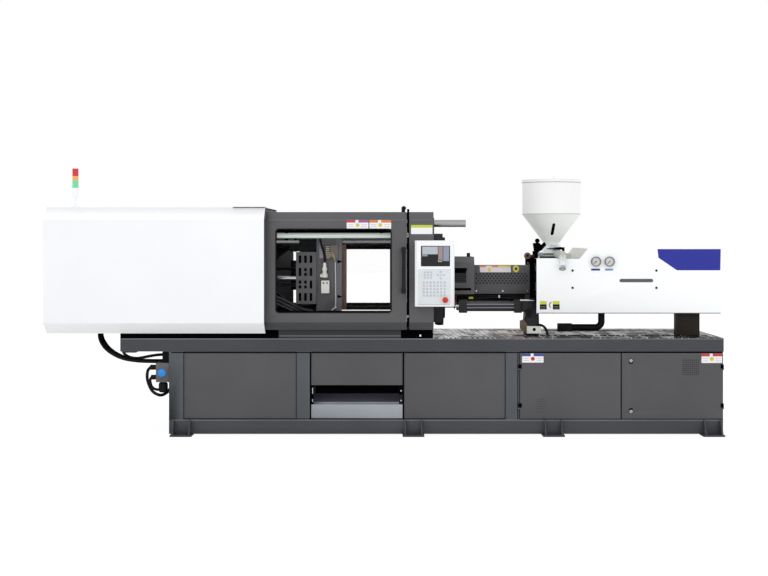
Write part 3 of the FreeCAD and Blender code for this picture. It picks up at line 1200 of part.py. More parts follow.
def hopper_base():
    """Base plate, square neck with the gate's slot, and the drain tube that bends down in front."""
    x, half = s.hopper_x, s.neck_half
    plate = box("base_plate", (x - s.plate_left, -s.base_plate_half, s.housing_step),
                (x + s.plate_right, s.base_plate_half, s.base_plate_top))
    neck = box("gate_neck", (x - half, -half, s.base_plate_top - 1), (x + half, half,
                                                                      s.hopper_low))
    slot = box("gate_slot", (x - s.gate_half - s.seat_gap, -half - 1, s.gate_z - s.seat_gap),
               (x + s.gate_half + s.seat_gap, half - 12, s.gate_z + s.gate_thick + s.seat_gap))
    throat = rod("base_throat", "Z", (x, 0, s.housing_step - 1), s.hopper_low - s.housing_step + 2,
                 s.feed_bore)
    r, drain_x = s.drain_radius, x + s.drain_offset
    run = rod("drain_run", "Y", (drain_x, -s.drain_y, s.drain_z), s.drain_y - s.base_plate_half + 2,
              r)
    bend = doc.addObject("Part::Sphere", "drain_bend")
    bind(bend, "Radius", r)
    place(bend, drain_x, -s.drain_y, s.drain_z)
    drop = rod("drain_drop", "Z", (drain_x, -s.drain_y, s.drain_low), s.drain_z - s.drain_low, r)
    bore = rod("drain_bore", "Z", (drain_x, -s.drain_y, s.drain_low - 1),
               s.drain_z - s.drain_low + 1, r - 3)
    mouth = prism("drain_mouth", "YZ",
                  [(-s.drain_y - r - 1, s.drain_low - 1), (-s.drain_y + r, s.drain_low - 1),
                   (-s.drain_y - r - 1, s.drain_low + 46)], drain_x - r - 1, drain_x + r + 1)
    node("hopper_base", cut("hopper_base_body",
                            fuse("hopper_base_blank", plate, neck, run, bend, drop),
                            slot, throat, bore, mouth))
    blade = box("gate_blade", (x - s.gate_half, -half - 14, s.gate_z),
                (x + s.gate_half, half - 14, s.gate_z + s.gate_thick))
    lever_x = x + s.lever_offset
    grip = box("gate_grip", (lever_x - 26, -s.gate_reach, s.gate_z - 4),
               (lever_x + 26, -half - 13, s.gate_z + s.gate_thick + 4))
    knob = rod("gate_knob", "Y", (lever_x, -s.gate_reach - 30, s.gate_z + s.gate_thick / 2), 31, 10)
    node("gate_lever", fuse("gate_body", blade, grip, knob))


def gauges():
    face = -s.housing_half
    places = {"system": s.gauge_one, "back": s.gauge_one + s.gauge_pitch}
    bodies = []
    for name, x in places.items():
        case = rod(f"gauge_case_{name}", "Y", (x, face - s.gauge_depth, s.gauge_z), s.gauge_depth,
                   s.gauge_radius)
        well = rod(f"gauge_well_{name}", "Y", (x, face - s.gauge_depth - 1, s.gauge_z), 9,
                   s.gauge_radius - s.gauge_rim)
        post = rod(f"gauge_post_{name}", "Y", (x, face - s.gauge_depth + 2, s.gauge_z), 7,
                   s.needle_pin)
        bodies.append(fuse(f"gauge_{name}", cut(f"gauge_cup_{name}", case, well), post))
    node("pressure_gauges", group("gauge_pair", *bodies))
    for name, x in places.items():
        hub = rod(f"needle_hub_{name}", "Y", (0, 0, 0), 2, s.needle_pin + 2.5)
        hand = box(f"needle_hand_{name}", (-s.needle_half, 0, 8 - s.needle_length),
                   (s.needle_half, 1, 8))
        hole = rod(f"needle_hole_{name}", "Y", (0, -1, 0), 4, s.needle_pin + s.running_gap)
        needle = cut(f"needle_body_{name}", fuse(f"needle_blank_{name}", hub, hand), hole)
        turn_about(needle, FreeCAD.Vector(0, 1, 0), s.needle_rest)
        place(needle, x, face - s.gauge_depth + 3, s.gauge_z)
        node(f"needle_{name}", needle)


def purge_guard():
    half, low, high, w = s.purge_half, s.purge_low, s.purge_high, s.sheet
    top = s.purge_chamfer
    fold = high - s.purge_bevel

    def outline(inset):
        floor = low - 1 if inset.value else low
        return [(-half + inset, floor), (-half + inset, fold - inset / 2),
                (-top + inset / 2, high - inset), (top - inset / 2, high - inset),
                (half - inset, fold - inset / 2), (half - inset, floor)]

    shell = cut("purge_shell", prism("purge_blank", "YZ", outline(as_length(0)), purge_left,
                                     purge_right),
                prism("purge_hollow", "YZ", outline(w), purge_left - 1, purge_right + 1),
                box("purge_window", (purge_left + 25, -half - 1, s.purge_window_low),
                    (purge_right - 62, -half + w + 1, s.purge_window_high)))
    knuckles = []
    for index, x in enumerate((purge_left + 10, purge_right - 60)):
        knuckles.append(rod(f"purge_knuckle_{index}", "X", (x, s.purge_hinge_y, s.purge_hinge_z),
                            30, s.purge_pin + 5))
        knuckles.append(box(f"purge_tab_{index}", (x, half - w, s.purge_hinge_z),
                            (x + 30, half + 3, low + 20)))
    knob = rod("purge_knob", "Z", (purge_right - 40, -top + 40, high - 1), 31, 13)
    bore = rod("purge_bore", "X", (purge_left, s.purge_hinge_y, s.purge_hinge_z),
               purge_right - purge_left, s.purge_pin + s.running_gap)
    node("purge_guard", cut("purge_body", fuse("purge_set", shell, *knuckles, knob), bore))


# ---------------------------------------------------------------------------- cabinets and hoses

def cabinet_doors():
    places = cabinet_hinge_places()
    limits = {"left": (s.cabinet_left, s.cabinet_split - s.cabinet_gap),
              "right": (s.cabinet_split + s.cabinet_gap, s.cabinet_right)}
    w = s.sheet
    for name, (left, right) in limits.items():
        face, back = -s.base_half, -(s.base_half - s.cabinet_depth)
        tray = cut(f"cabinet_tray_{name}",
                   box(f"cabinet_blank_{name}", (left, face, s.cabinet_low), (right, back,
                                                                            s.cabinet_high)),
                   box(f"cabinet_hollow_{name}", (left + w, face + w, s.cabinet_low + w),
                       (right - w, back + 1, s.cabinet_high - w)))
        hinge_x = places[name][0]
        pin_y = -(s.base_half + s.hinge_out)
        barrels, bores = [], []
        for level, z in (("high", s.hinge_high), ("low", s.hinge_low)):
            low = z - s.hinge_height / 2
            barrels.append(rod(f"door_knuckle_{name}_{level}", "Z", (hinge_x, pin_y, low),
                               s.hinge_height, s.hinge_radius))
            reach = (hinge_x, left + s.leaf_reach) if name == "left" else (right - s.leaf_reach,
                                                                          hinge_x)
            pad = (left, left + s.leaf_reach) if name == "left" else (right - s.leaf_reach, right)
            barrels.append(box(f"door_leaf_{name}_{level}",
                               (reach[0], face - s.leaf_thick - s.seat_gap, low),
                               (reach[1], face - s.seat_gap, low + s.hinge_height)))
            barrels.append(box(f"door_pad_{name}_{level}", (pad[0], face - s.leaf_thick, low),
                               (pad[1], face + 1, low + s.hinge_height)))
            bores.append(rod(f"door_bore_{name}_{level}", "Z", (hinge_x, pin_y, low - 1),
                             s.hinge_height + 2, s.hinge_pin + s.running_gap))
        if name == "right":
            bores += [rod(f"latch_hole_{index}", "Y", (s.latch_x, face - 1, z), w + 2,
                          s.latch_shank + s.running_gap)
                      for index, z in enumerate((s.latch_high, s.latch_low))]
        node(f"cabinet_door_{name}", cut(f"cabinet_door_body_{name}",
                                         fuse(f"cabinet_set_{name}", tray, *barrels), *bores))
    for name, z in (("upper", s.latch_high), ("lower", s.latch_low)):
        face = -s.base_half
        head = rod(f"latch_head_{name}", "Y", (s.latch_x, face - s.latch_head - s.seat_gap, z),
                   s.latch_head, s.latch_radius)
        cam_y = face + s.cabinet_depth + s.cabinet_gap + s.mullion_depth + s.cam_back
        shank = rod(f"latch_shank_{name}", "Y", (s.latch_x, face - s.latch_head, z),
                    cam_y - face + s.latch_head + s.cam_thick, s.latch_shank)
        half = s.cam_width / 2
        low = z - half if name == "lower" else z + half - s.cam_length
        cam = box(f"latch_cam_{name}", (s.latch_x - half, cam_y, low),
                  (s.latch_x + half, cam_y + s.cam_thick, low + s.cam_length))
        node(f"door_latch_{name}", fuse(f"latch_body_{name}", head, shank, cam))


def power_pack():
    """Oil tank along the rear of the base, with the motor and the pump beside it."""
    floor = sill_top
    tank = box("oil_tank", (s.tank_left, s.tank_front, floor), (s.tank_right, s.tank_rear,
                                                                s.tank_high))
    y = -s.motor_y
    bed = box("motor_bed", (s.tank_left + 40, y - s.bed_half, floor),
              (s.tank_right - 40, y + s.bed_half, floor + s.bed_sheet))
    stands = [box(f"motor_stand_{index}", (x, y - s.stand_half, floor + s.bed_sheet),
                  (x + s.stand_width, y + s.stand_half, s.motor_z - 60))
              for index, x in enumerate((s.motor_x + 40, s.motor_x + 200))]
    motor = rod("pump_motor", "X", (s.motor_x, y, s.motor_z), s.motor_length, s.motor_radius)
    pump = rod("pump", "X", (s.motor_x - s.pump_length, y, s.motor_z), s.pump_length + 1,
               s.pump_radius)
    runners = [box(f"tank_runner_{index}", (x, -beam_inner, s.sill_low), (x + 60, beam_inner,
                                                                         sill_top))
               for index, x in enumerate((s.tank_left + 40, s.tank_right - 100))]
    node("power_pack", group("power_pack_set", tank, bed, fuse("motor_set", motor, pump, *stands),
                             *runners))


HOSES = {
    # radius, the manifold port's Y and how far its elbow drops, the bulkhead port's Y and Z, and
    # the route between them, with every Z measured from the deck
    "clamp_hose_front": ("hose_radius", -95, 0, (-318, -187), [
        (-2041, -95, 108), (-2105, -110, 95), (-2148, -145, 58), (-2163, -195, 8),
        (-2140, -245, -48), (-2080, -290, -110), (-1969, -320, -165), (-1845, -322, -184),
        (-1720, -318, -187)]),
    "clamp_hose_rear": ("hose_radius", -45, 0, (-262, -190), [
        (-2041, -45, 108), (-2104, -54, 97), (-2150, -85, 60), (-2164, -132, 8),
        (-2135, -178, -48), (-2076, -225, -111), (-1968, -258, -167), (-1850, -268, -187),
        (-1730, -262, -190)]),
    "valve_hose": ("thin_hose", 95, 34, (-212, -145), [
        (-1981, 95, 18), (-1998, 80, -38), (-2022, 38, -90), (-2022, -30, -136),
        (-1975, -103, -170), (-1890, -160, -183), (-1797, -199, -162), (-1703, -212, -145)]),
}


def hose_path(points, share=0.45):
    """Straight runs between the points joined by tangent arcs; returns the wire and the radii."""
    corners = [FreeCAD.Vector(*point) for point in points]
    edges, radii, start = [], [], corners[0]
    for before, corner, after in zip(corners, corners[1:], corners[2:]):
        back, ahead = before - corner, after - corner
        reach = share * min(back.Length, ahead.Length)
        turn = math.pi - back.getAngle(ahead)
        radii.append(reach / math.tan(turn / 2))
        entry = corner + back.normalize() * reach
        leave = corner + ahead.normalize() * reach
        bulge = (entry + leave) * 0.5
        middle_way = (bulge - corner).normalize()
        centre = corner + middle_way * (radii[-1] / math.cos(turn / 2))
        middle = centre - middle_way * radii[-1]
        edges += [Part.LineSegment(start, entry).toShape(), Part.Arc(entry, middle, leave).toShape()]
        start = leave
    edges.append(Part.LineSegment(start, corners[-1]).toShape())
    return Part.Wire(edges), radii


def hose(name, radius, points):
    wire, radii = hose_path(points)
    start = wire.Edges[0]
    ring = Part.Circle(start.valueAt(start.FirstParameter), start.tangentAt(start.FirstParameter),
                       radius).toShape()
    tube = wire.makePipeShell([Part.Wire(ring)], True, True)
    obj = doc.addObject("Part::Feature", name + "_tube")
    obj.Shape = tube
    full = math.pi * radius ** 2 * wire.Length
    print(f"{name}: {wire.Length:.0f} long, least radius {min(radii):.0f}, "
          f"volume ratio {tube.Volume / full:.4f}")
    node(name, obj)


def hydraulics():
    """The manifold at the end of the ways, the valve block on the base's end, and the hoses."""
    beam_left = -(s.base_left + s.beam_overhang)
    port_x = beam_left - s.port_reach
    manifold = box("manifold_block", (beam_left, -s.manifold_half, s.ways_low),
                   (beam_left + s.manifold_thick, s.manifold_half, s.manifold_high))
    ports = [rod(f"manifold_port_{name}", "X", (port_x, y, s.port_z), s.port_reach + 1,
                 s.port_radius) for name, (_, y, _, _, _) in HOSES.items()]
    ports += [rod(f"manifold_elbow_{name}", "Z", (port_x, y, s.port_z - drop),
                  s.port_radius + drop, s.port_radius)
              for name, (_, y, drop, _, _) in HOSES.items() if drop]
    end = -s.base_left
    bulkhead = box("bulkhead_plate", (end - s.bulkhead_thick, -s.bulkhead_front, s.bulkhead_low),
                   (end + s.panel_sheet, -s.bulkhead_rear, s.bulkhead_high))
    socket_x = end - s.bulkhead_reach
    sockets = [rod(f"bulkhead_port_{name}", "X", (socket_x, y, s.deck_height + z),
                   s.bulkhead_reach - s.bulkhead_thick + 1, s.port_radius)
               for name, (_, _, _, (y, z), _) in HOSES.items()]
    block = box("valve_body", (end - s.block_width, -s.block_front, s.block_low),
                (end, -s.block_front + s.block_depth, s.block_high))
    coil = rod("valve_coil", "Y", (end - s.coil_x, -s.block_front - s.coil_length, s.coil_z),
               s.coil_length + 1, s.coil_radius)
    node("hydraulic_blocks", group("hydraulic_set", fuse("manifold", manifold, *ports),
                                   fuse("bulkhead", bulkhead, *sockets),
                                   fuse("valve", block, coil)))
    for name, (radius, port_y, drop, socket, route) in HOSES.items():
        points = [(port_x.value, port_y, HEIGHTS["port_z"] - drop), *route,
                  (socket_x.value, *socket)]
        hose(name, SIZES[radius], [(x, y, SIZES["deck_height"] + z) for x, y, z in points])


base_frame()
machine_feet()
base_panels()
deck()
product_chute()
fixed_platen()
tie_bars()
tail_platen()
clamp_cylinder()
crosshead()
toggle_links()
moving_platen()
ejector_plate()
platen_guard()
safety_bar()
guard_frame()
doors()
clamp_guard()
work_lamp()
signal_lamp()
control_panel()
injection_frame()
carriage_conduit()
barrel_and_screw()
barrel_cover()
injection_housing()
pull_cylinders()
hopper()
hopper_base()
gauges()
purge_guard()
cabinet_doors()
power_pack()
hydraulics()

doc.recompute()
faulty = [obj.Name for obj in doc.Objects if {"Invalid", "Error"} & set(obj.State)]
if faulty:
    raise SystemExit(f"these objects failed: {faulty}")
for label, obj in NODES.items():
    if obj.Shape.isNull() or not obj.Shape.isValid() or not obj.Shape.Solids:
        raise SystemExit(f"{label} has no valid solid")
os.makedirs("parts", exist_ok=True)
for label, obj in NODES.items():
    obj.Shape.exportStep(f"parts/{label}.step")
print(len(NODES), "pieces")
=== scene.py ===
"""The looks of an injection moulding machine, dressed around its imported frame.

Every length is in metres in the frame's own axes: X runs along the machine, Y into the
picture and Z up. The operator's side faces -Y.
"""

import json
import logging
import math
from dataclasses import dataclass, field
from enum import Enum
from typing import Callable, Sequence

import bmesh
import bpy
import numpy as np
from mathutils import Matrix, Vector

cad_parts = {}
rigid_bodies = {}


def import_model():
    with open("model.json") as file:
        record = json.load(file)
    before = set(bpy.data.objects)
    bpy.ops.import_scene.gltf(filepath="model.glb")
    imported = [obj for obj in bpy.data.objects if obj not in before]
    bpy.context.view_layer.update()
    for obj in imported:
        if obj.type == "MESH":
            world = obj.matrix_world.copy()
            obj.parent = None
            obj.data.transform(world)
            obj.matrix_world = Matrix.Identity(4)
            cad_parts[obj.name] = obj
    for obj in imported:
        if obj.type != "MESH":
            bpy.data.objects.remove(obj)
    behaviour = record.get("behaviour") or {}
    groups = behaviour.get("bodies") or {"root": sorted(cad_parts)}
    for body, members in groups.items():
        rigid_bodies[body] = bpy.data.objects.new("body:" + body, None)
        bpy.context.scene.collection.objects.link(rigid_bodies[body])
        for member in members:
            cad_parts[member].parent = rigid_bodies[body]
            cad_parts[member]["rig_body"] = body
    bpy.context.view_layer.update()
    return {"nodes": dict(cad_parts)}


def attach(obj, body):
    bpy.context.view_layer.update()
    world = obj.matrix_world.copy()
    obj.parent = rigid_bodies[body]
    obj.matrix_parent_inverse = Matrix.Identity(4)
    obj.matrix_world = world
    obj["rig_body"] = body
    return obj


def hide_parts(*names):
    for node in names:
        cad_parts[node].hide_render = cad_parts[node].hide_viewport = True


LOG = logging.getLogger("injection_machine")
Array = np.ndarray
Colour = tuple[float, float, float]
Numbers = Sequence[float]
Points = Sequence[Numbers]
Region = Callable[[Array, Array, Array], Array]
Reshape = Callable[[Array, Array, Array], Sequence[Array]]
TAU = 2 * math.pi
CREASE = math.radians(32)
FILM = 0.0006
INK = 0.0002

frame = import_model()


def srgb(red: float, green: float, blue: float) -> Colour:
    """Turns 0-255 display values into linear ones: c/12.92 when dark, else a 2.4 power."""
    def linear(value: float) -> float:
        """One channel's linear value."""
        c = value / 255
        return c / 12.92 if c <= 0.04045 else ((c + 0.055) / 1.055) ** 2.4
    return linear(red), linear(green), linear(blue)


def put(name: str, data: "bpy.types.ID") -> bpy.types.Object:
    """A new object in the scene, from its mesh, curve, lamp or camera data."""
    made = bpy.data.objects.new(name, data)
    bpy.context.scene.collection.objects.link(made)
    return made


# ------------------------------------------------------------------ node trees

class Wire:
    """A number in a node tree; arithmetic on it adds Math nodes."""

    def __init__(self, graph: "Graph", socket: bpy.types.NodeSocket) -> None:
        """Keeps the tree and the socket that carries the number."""
        self.graph = graph
        self.socket = socket

    def maths(self, operation: str, *values: "Wire | float") -> "Wire":
        """Adds one Math node.

        Args:
            operation: the Math node's operation.
            values: its inputs in order.
        Returns:
            The node's result.
        """
        inputs = {index: value for index, value in enumerate(values)}
        made = self.graph.node("ShaderNodeMath", {"operation": operation}, inputs)
        return Wire(self.graph, made.outputs[0])

    def __add__(self, other: "Wire | float") -> "Wire":
        """self + other."""
        return self.maths("ADD", self, other)

    def __sub__(self, other: "Wire | float") -> "Wire":
        """self - other."""
        return self.maths("SUBTRACT", self, other)

    def __rsub__(self, other: float) -> "Wire":
        """other - self."""
        return self.maths("SUBTRACT", other, self)

    def __mul__(self, other: "Wire | float") -> "Wire":
        """self x other."""
        return self.maths("MULTIPLY", self, other)

    __radd__ = __add__
    __rmul__ = __mul__

    def smooth(self, low: float, high: float) -> "Wire":
        """A soft step from 0 at low to 1 at high."""
        made = self.graph.node("ShaderNodeMapRange", {"interpolation_type": "SMOOTHSTEP"},
                               {"Value": self, "From Min": low, "From Max": high})
        return Wire(self.graph, made.outputs[0])


class Graph:
    """The node tree of a material or of the world."""

    def __init__(self, owner: "bpy.types.Material | bpy.types.World",
                 kind: str = "Material") -> None:
        """Empties the owner's tree and gives it an output node of that kind."""
        owner.use_nodes = True
        self.owner = owner
        self.tree = owner.node_tree
        self.tree.nodes.clear()
        self.output = self.tree.nodes.new("ShaderNodeOutput" + kind)

    def node(self, kind: str, settings: dict | None = None,
             inputs: dict | None = None) -> bpy.types.Node:
        """Makes any node: its settings first, then its sockets.

        Args:
            kind: the node's type name.
            settings: attributes such as an operation or a data type.
            inputs: socket name or index to a value, a socket or a Wire.
        Returns:
            The node.
        """
        made = self.tree.nodes.new(kind)
        for key, value in (settings or {}).items():
            setattr(made, key, value)
        for key, value in (inputs or {}).items():
            socket = made.inputs[key]
            if isinstance(value, Wire):
                value = value.socket
            if isinstance(value, bpy.types.NodeSocket):
                self.tree.links.new(value, socket)
            elif isinstance(value, tuple) and socket.type == "RGBA":
                socket.default_value = (*value, 1.0)
            else:
                socket.default_value = value
        return made

    def place(self, stretch: Numbers = (1, 1, 1)) -> bpy.types.NodeSocket:
        """Object coordinates in metres, stretched along each axis."""
        where = self.node("ShaderNodeTexCoord").outputs["Object"]
        if tuple(stretch) == (1, 1, 1):
            return where
        return self.node("ShaderNodeVectorMath", {"operation": "MULTIPLY"},
                         {0: where, 1: tuple(stretch)}).outputs[0]

    def axis(self, letter: str) -> Wire:
        """One object coordinate as a number."""
        made = self.node("ShaderNodeSeparateXYZ", inputs={0: self.place()})
        return Wire(self, made.outputs[letter])

    def noise(self, scale: float, detail: float = 2, stretch: Numbers = (1, 1, 1)) -> Wire:
        """Noise from 0 to 1 around 0.5, at a scale in waves a metre."""
        made = self.node("ShaderNodeTexNoise", {"noise_dimensions": "3D"},
                         {"Vector": self.place(stretch), "Scale": scale, "Detail": detail})
        return Wire(self, made.outputs["Fac"])

    def blend(self, amount: "Wire | float", start: object, end: object) -> bpy.types.NodeSocket:
        """A colour between start and end."""
        made = self.node("ShaderNodeMix", {"data_type": "RGBA"}, {0: amount, 6: start, 7: end})
        return made.outputs[2]

    def bump(self, height: Wire, depth: float, strength: float = 1.0) -> bpy.types.NodeSocket:
        """A normal that follows a height field of that depth in metres."""
        return self.node("ShaderNodeBump", inputs={"Height": height, "Distance": depth,
                                                   "Strength": strength}).outputs[0]

    def show(self, shader: bpy.types.Node) -> None:
        """Joins a shader to the output."""
        self.tree.links.new(shader.outputs[0], self.output.inputs["Surface"])

    def surface(self, **values: object) -> bpy.types.Material:
        """A Principled shader; names are socket names with underscores for spaces."""
        inputs = {key.replace("_", " "): value for key, value in values.items()}
        self.show(self.node("ShaderNodeBsdfPrincipled", inputs=inputs))
        return self.owner


# ------------------------------------------------------------------ finishes

@dataclass(frozen=True)
class Finish:
    """A surface finish; its material is built once and kept."""
    name: str
    colour: Colour
    slot: str
    rough: float = 0.45

    def build(self, graph: Graph) -> bpy.types.Material:
        """Fills the material's node tree."""
        raise NotImplementedError

    def material(self) -> bpy.types.Material:
        """The finish's material, made at its first use; its name is no slot's name."""
        label = self.name + "_finish"
        found = bpy.data.materials.get(label)
        return found if found else self.build(Graph(bpy.data.materials.new(label)))


@dataclass(frozen=True)
class Paint(Finish):
    """Baked paint on sheet steel: a drift of shade, fine orange peel and dust low down."""
    peel: float = 0.00006
    drift: float = 0.05
    dust: float = 0.0
    coat: float = 0.0
    gleam: float = 0.3

    def build(self, graph: Graph) -> bpy.types.Material:
        """Colour x (1 +- drift), roughness from cloudy noise, bump from fine noise."""
        cloud = graph.noise(1.7, 3)
        darker = tuple(c * (1 - self.drift) for c in self.colour)
        lighter = tuple(min(1.0, c * (1 + self.drift)) for c in self.colour)
        shade = graph.blend(cloud.smooth(0.35, 0.65), darker, lighter)
        if self.dust:
            low = 1 - graph.axis("Z").smooth(0.02, 0.35)
            specks = graph.noise(35, 5).smooth(0.45, 0.75)
            shade = graph.blend(low * specks * self.dust, shade, srgb(128, 124, 118))
        rough = graph.noise(9, 3) * 0.12 + (self.rough - 0.06)
        return graph.surface(Base_Color=shade, Roughness=rough, Coat_Weight=self.coat,
                             Specular_IOR_Level=self.gleam,
                             Normal=graph.bump(graph.noise(420, 1), self.peel, 0.5))


@dataclass(frozen=True)
class Steel(Finish):
    """Bare metal with a grain drawn along one axis."""
    grain: Numbers = (1, 30, 30)
    depth: float = 0.00003
    marks: float = 0.12

    def build(self, graph: Graph) -> bpy.types.Material:
        """Streaks are noise squeezed across the grain; they vary colour, gloss and height."""
        streak = graph.noise(14, 4, self.grain)
        stain = graph.noise(5, 3).smooth(0.4, 0.7)
        darker = tuple(c * (1 - self.marks) for c in self.colour)
        shade = graph.blend(streak, darker, self.colour)
        shade = graph.blend(stain * 0.25, shade, darker)
        rough = streak * 0.2 + stain * 0.08 + (self.rough - 0.1)
        return graph.surface(Base_Color=shade, Metallic=1.0, Roughness=rough,
                             Normal=graph.bump(streak, self.depth, 0.6))


@dataclass(frozen=True)
class PaintedReflection(Finish):
    """Rolled sheet with painted reflections: bright and dark streaks in its base colour stand for
    its mirror gloss.
    """
    bright: Colour = (0.8, 0.8, 0.8)
    dull_from: float = 0.66
    dull_to: float = 1.05

    def build(self, graph: Graph) -> bpy.types.Material:
        """Streaks are squeezed noise, cut sharp on the open end and rarer along the machine; the
        bright streaks and a brown band are painted reflections.
        """
        along = graph.axis("X").smooth(self.dull_from, self.dull_to)
        slant = graph.node("ShaderNodeCombineXYZ", inputs={
            0: (graph.axis("X") + graph.axis("Y") * 0.07) * 62, 1: graph.axis("Y") * 2.2})
        made = graph.node("ShaderNodeTexNoise", {"noise_dimensions": "2D"},
                          {"Vector": slant.outputs[0], "Scale": 1.0, "Detail": 1.5})
        streak = Wire(graph, made.outputs["Fac"]) - along * 0.13
        stain = graph.noise(9, 3, (1, 0.5, 1)).smooth(0.42, 0.6)
        # A brown band along the machine, painted as part of the reflected pattern.
        brown_reflection = along * (1 - graph.axis("X").smooth(0.95, 1.2)) * 3.0
        base = graph.blend(brown_reflection, self.colour, srgb(112, 92, 84))
        shade = graph.blend(streak.smooth(0.47, 0.53), base, self.bright)
        shade = graph.blend(stain * 0.35, shade, self.colour)
        return graph.surface(Base_Color=shade, Metallic=0.7, Roughness=stain * 0.2 + self.rough,
                             Specular_IOR_Level=0.2, Specular_Tint=(0.7, 0.7, 0.7),
                             Normal=graph.bump(streak, 0.0003, 0.4))


@dataclass(frozen=True)
class Casting(Finish):
    """Painted cast iron: a coarse sand skin under dull paint."""
    grit: float = 0.0005
    gleam: float = 0.35

    def build(self, graph: Graph) -> bpy.types.Material:
        """Two sizes of noise added for the height; oily patches are darker and glossier."""
        oil = graph.noise(4, 3).smooth(0.5, 0.7)
        shade = graph.blend(oil * 0.5, self.colour, tuple(c * 0.6 for c in self.colour))
        sand = graph.noise(130, 3) + graph.noise(40, 2) * 0.6
        return graph.surface(Base_Color=shade, Roughness=self.rough - oil * 0.2,
                             Specular_IOR_Level=self.gleam,
                             Normal=graph.bump(sand, self.grit, 0.5))


@dataclass(frozen=True)
class Moulded(Finish):
    """Moulded plastic or rubber with a fine pebble."""
    pebble: float = 0.00004
    scale: float = 600.0
    gleam: float = 0.4

    def build(self, graph: Graph) -> bpy.types.Material:
        """Fine noise for the pebble and a slow one for handling marks."""
        handled = graph.noise(12, 3).smooth(0.4, 0.7)
        shade = graph.blend(handled * 0.3, self.colour, tuple(c * 0.85 for c in self.colour))
        return graph.surface(Base_Color=shade, Roughness=self.rough - handled * 0.08,
                             Specular_IOR_Level=self.gleam,
                             Normal=graph.bump(graph.noise(self.scale, 1), self.pebble, 0.5))


@dataclass(frozen=True)
class Pane(Finish):
    """A clear acrylic sheet with faint wiping streaks."""
    haze: float = 0.05

    def build(self, graph: Graph) -> bpy.types.Material:
        """Nearly see-through; streaks of noise add a little haze."""
        wiped = graph.noise(6, 3, (1, 1, 4)).smooth(0.45, 0.75)
        return graph.surface(Base_Color=self.colour, Roughness=wiped * 0.05 + self.rough,
                             Alpha=wiped * 0.006 + self.haze, Specular_IOR_Level=0.5)


@dataclass(frozen=True)
class Glow(Finish):
    """A lit surface such as a lamp tube or a screen's field."""
    light: float = 0.6

    def build(self, graph: Graph) -> bpy.types.Material:
        """Base colour with a soft unevenness, and its own light."""
        even = graph.noise(20, 2)
        shade = graph.blend(even, self.colour, tuple(c * 0.92 for c in self.colour))
        return graph.surface(Base_Color=shade, Roughness=self.rough, Emission_Color=shade,
                             Emission_Strength=self.light)


def plain(name: str, red: float, green: float, blue: float, slot: str = "panel_case",
          rough: float = 0.5) -> Finish:
    """A plain moulded finish from display values."""
    return Moulded(name, srgb(red, green, blue), slot, rough)


STEEL_BAND = Paint("base_plate_paint", srgb(184, 189, 183), "white_paint", 0.4)
STAND = Paint("post_paint", srgb(86, 89, 93), "frame_grey", 0.5, gleam=0.2)
BEAM = Paint("beam_paint", srgb(70, 72, 76), "frame_grey", 0.5, gleam=0.2)
# Lighter strips: painted highlights on the beams' top edge, the lower beam's lip and a line along
# the door rail.
EDGE_HIGHLIGHT = Paint("edge_painted_highlight", srgb(122, 124, 127), "frame_grey", 0.45, drift=0.1)
LIP_HIGHLIGHT = Paint("lip_painted_highlight", srgb(100, 102, 106), "frame_grey", 0.45, drift=0.1)
POST = Paint("panel_paint", srgb(87, 86, 88), "panel_grey", 0.5, gleam=0.2)
DOOR = Paint("door_paint", srgb(93, 92, 94), "door_grey", 0.5, gleam=0.2)
# A darker copy of the door paint: painted shade on the low folds that face down.
DOOR_FOLD_SHADE = Paint("door_fold_painted_shade", srgb(76, 77, 80), "door_grey", 0.5, gleam=0.2)
# A lighter strip: painted highlight along a fold.
FOLD_HIGHLIGHT = Paint("fold_painted_highlight", srgb(124, 123, 126), "door_grey", 0.45)
# A lighter copy of the white paint: painted light on the clamp guard's top slope and low fold and
# on the injection housing.
WHITE_PAINTED_LIGHT = Paint("white_painted_light", srgb(252, 254, 255), "white_paint", 0.35, drift=0.0, gleam=0.3)
# A dark sheet as painted shade: the rear door's inner faces seen through the front window, and a
# strip of the chute's mouth.
SHADE_SHEET = Paint("inner_painted_shade", srgb(34, 34, 36), "door_grey", 0.6, gleam=0.05)
GUARD = Paint("slotted_paint", srgb(93, 93, 95), "door_grey", 0.5, gleam=0.15)
WHITE = Paint("white_paint", srgb(244, 246, 249), "white_paint", 0.35, drift=0.01, coat=0.1,
              gleam=0.2)
STEP = Paint("step_paint", srgb(202, 200, 196), "white_paint", 0.4, drift=0.03)
HOPPER = Paint("hopper_paint", srgb(244, 245, 244), "white_paint", 0.3, drift=0.012, coat=0.1)
# A slightly darker copy of the hopper's white: painted shade on the cone.
CONE_SHADE = Paint("cone_painted_shade", srgb(240, 242, 239), "white_paint", 0.35, drift=0.02)
PANEL = Paint("operator_case", srgb(245, 246, 248), "panel_case", 0.42, drift=0.01)
SHEET = Steel("bright_sheet", srgb(168, 172, 180), "bright_sheet", 0.4, (1, 25, 25))
# Painted reflections: bright streaks in the deck's base colour.
DECK_REFLECTION = PaintedReflection("deck_sheet", srgb(62, 60, 58), "bright_sheet", 0.25)
WAY = Steel("way_steel", srgb(74, 74, 76), "ground_steel", 0.35, (1, 40, 40), marks=0.3)
GROUND = Steel("ground_steel", srgb(150, 152, 155), "ground_steel", 0.32, (1, 40, 40))
CHROME = Steel("chrome", srgb(196, 198, 202), "chrome_bar", 0.16, (60, 60, 1), 0.00001, 0.05)
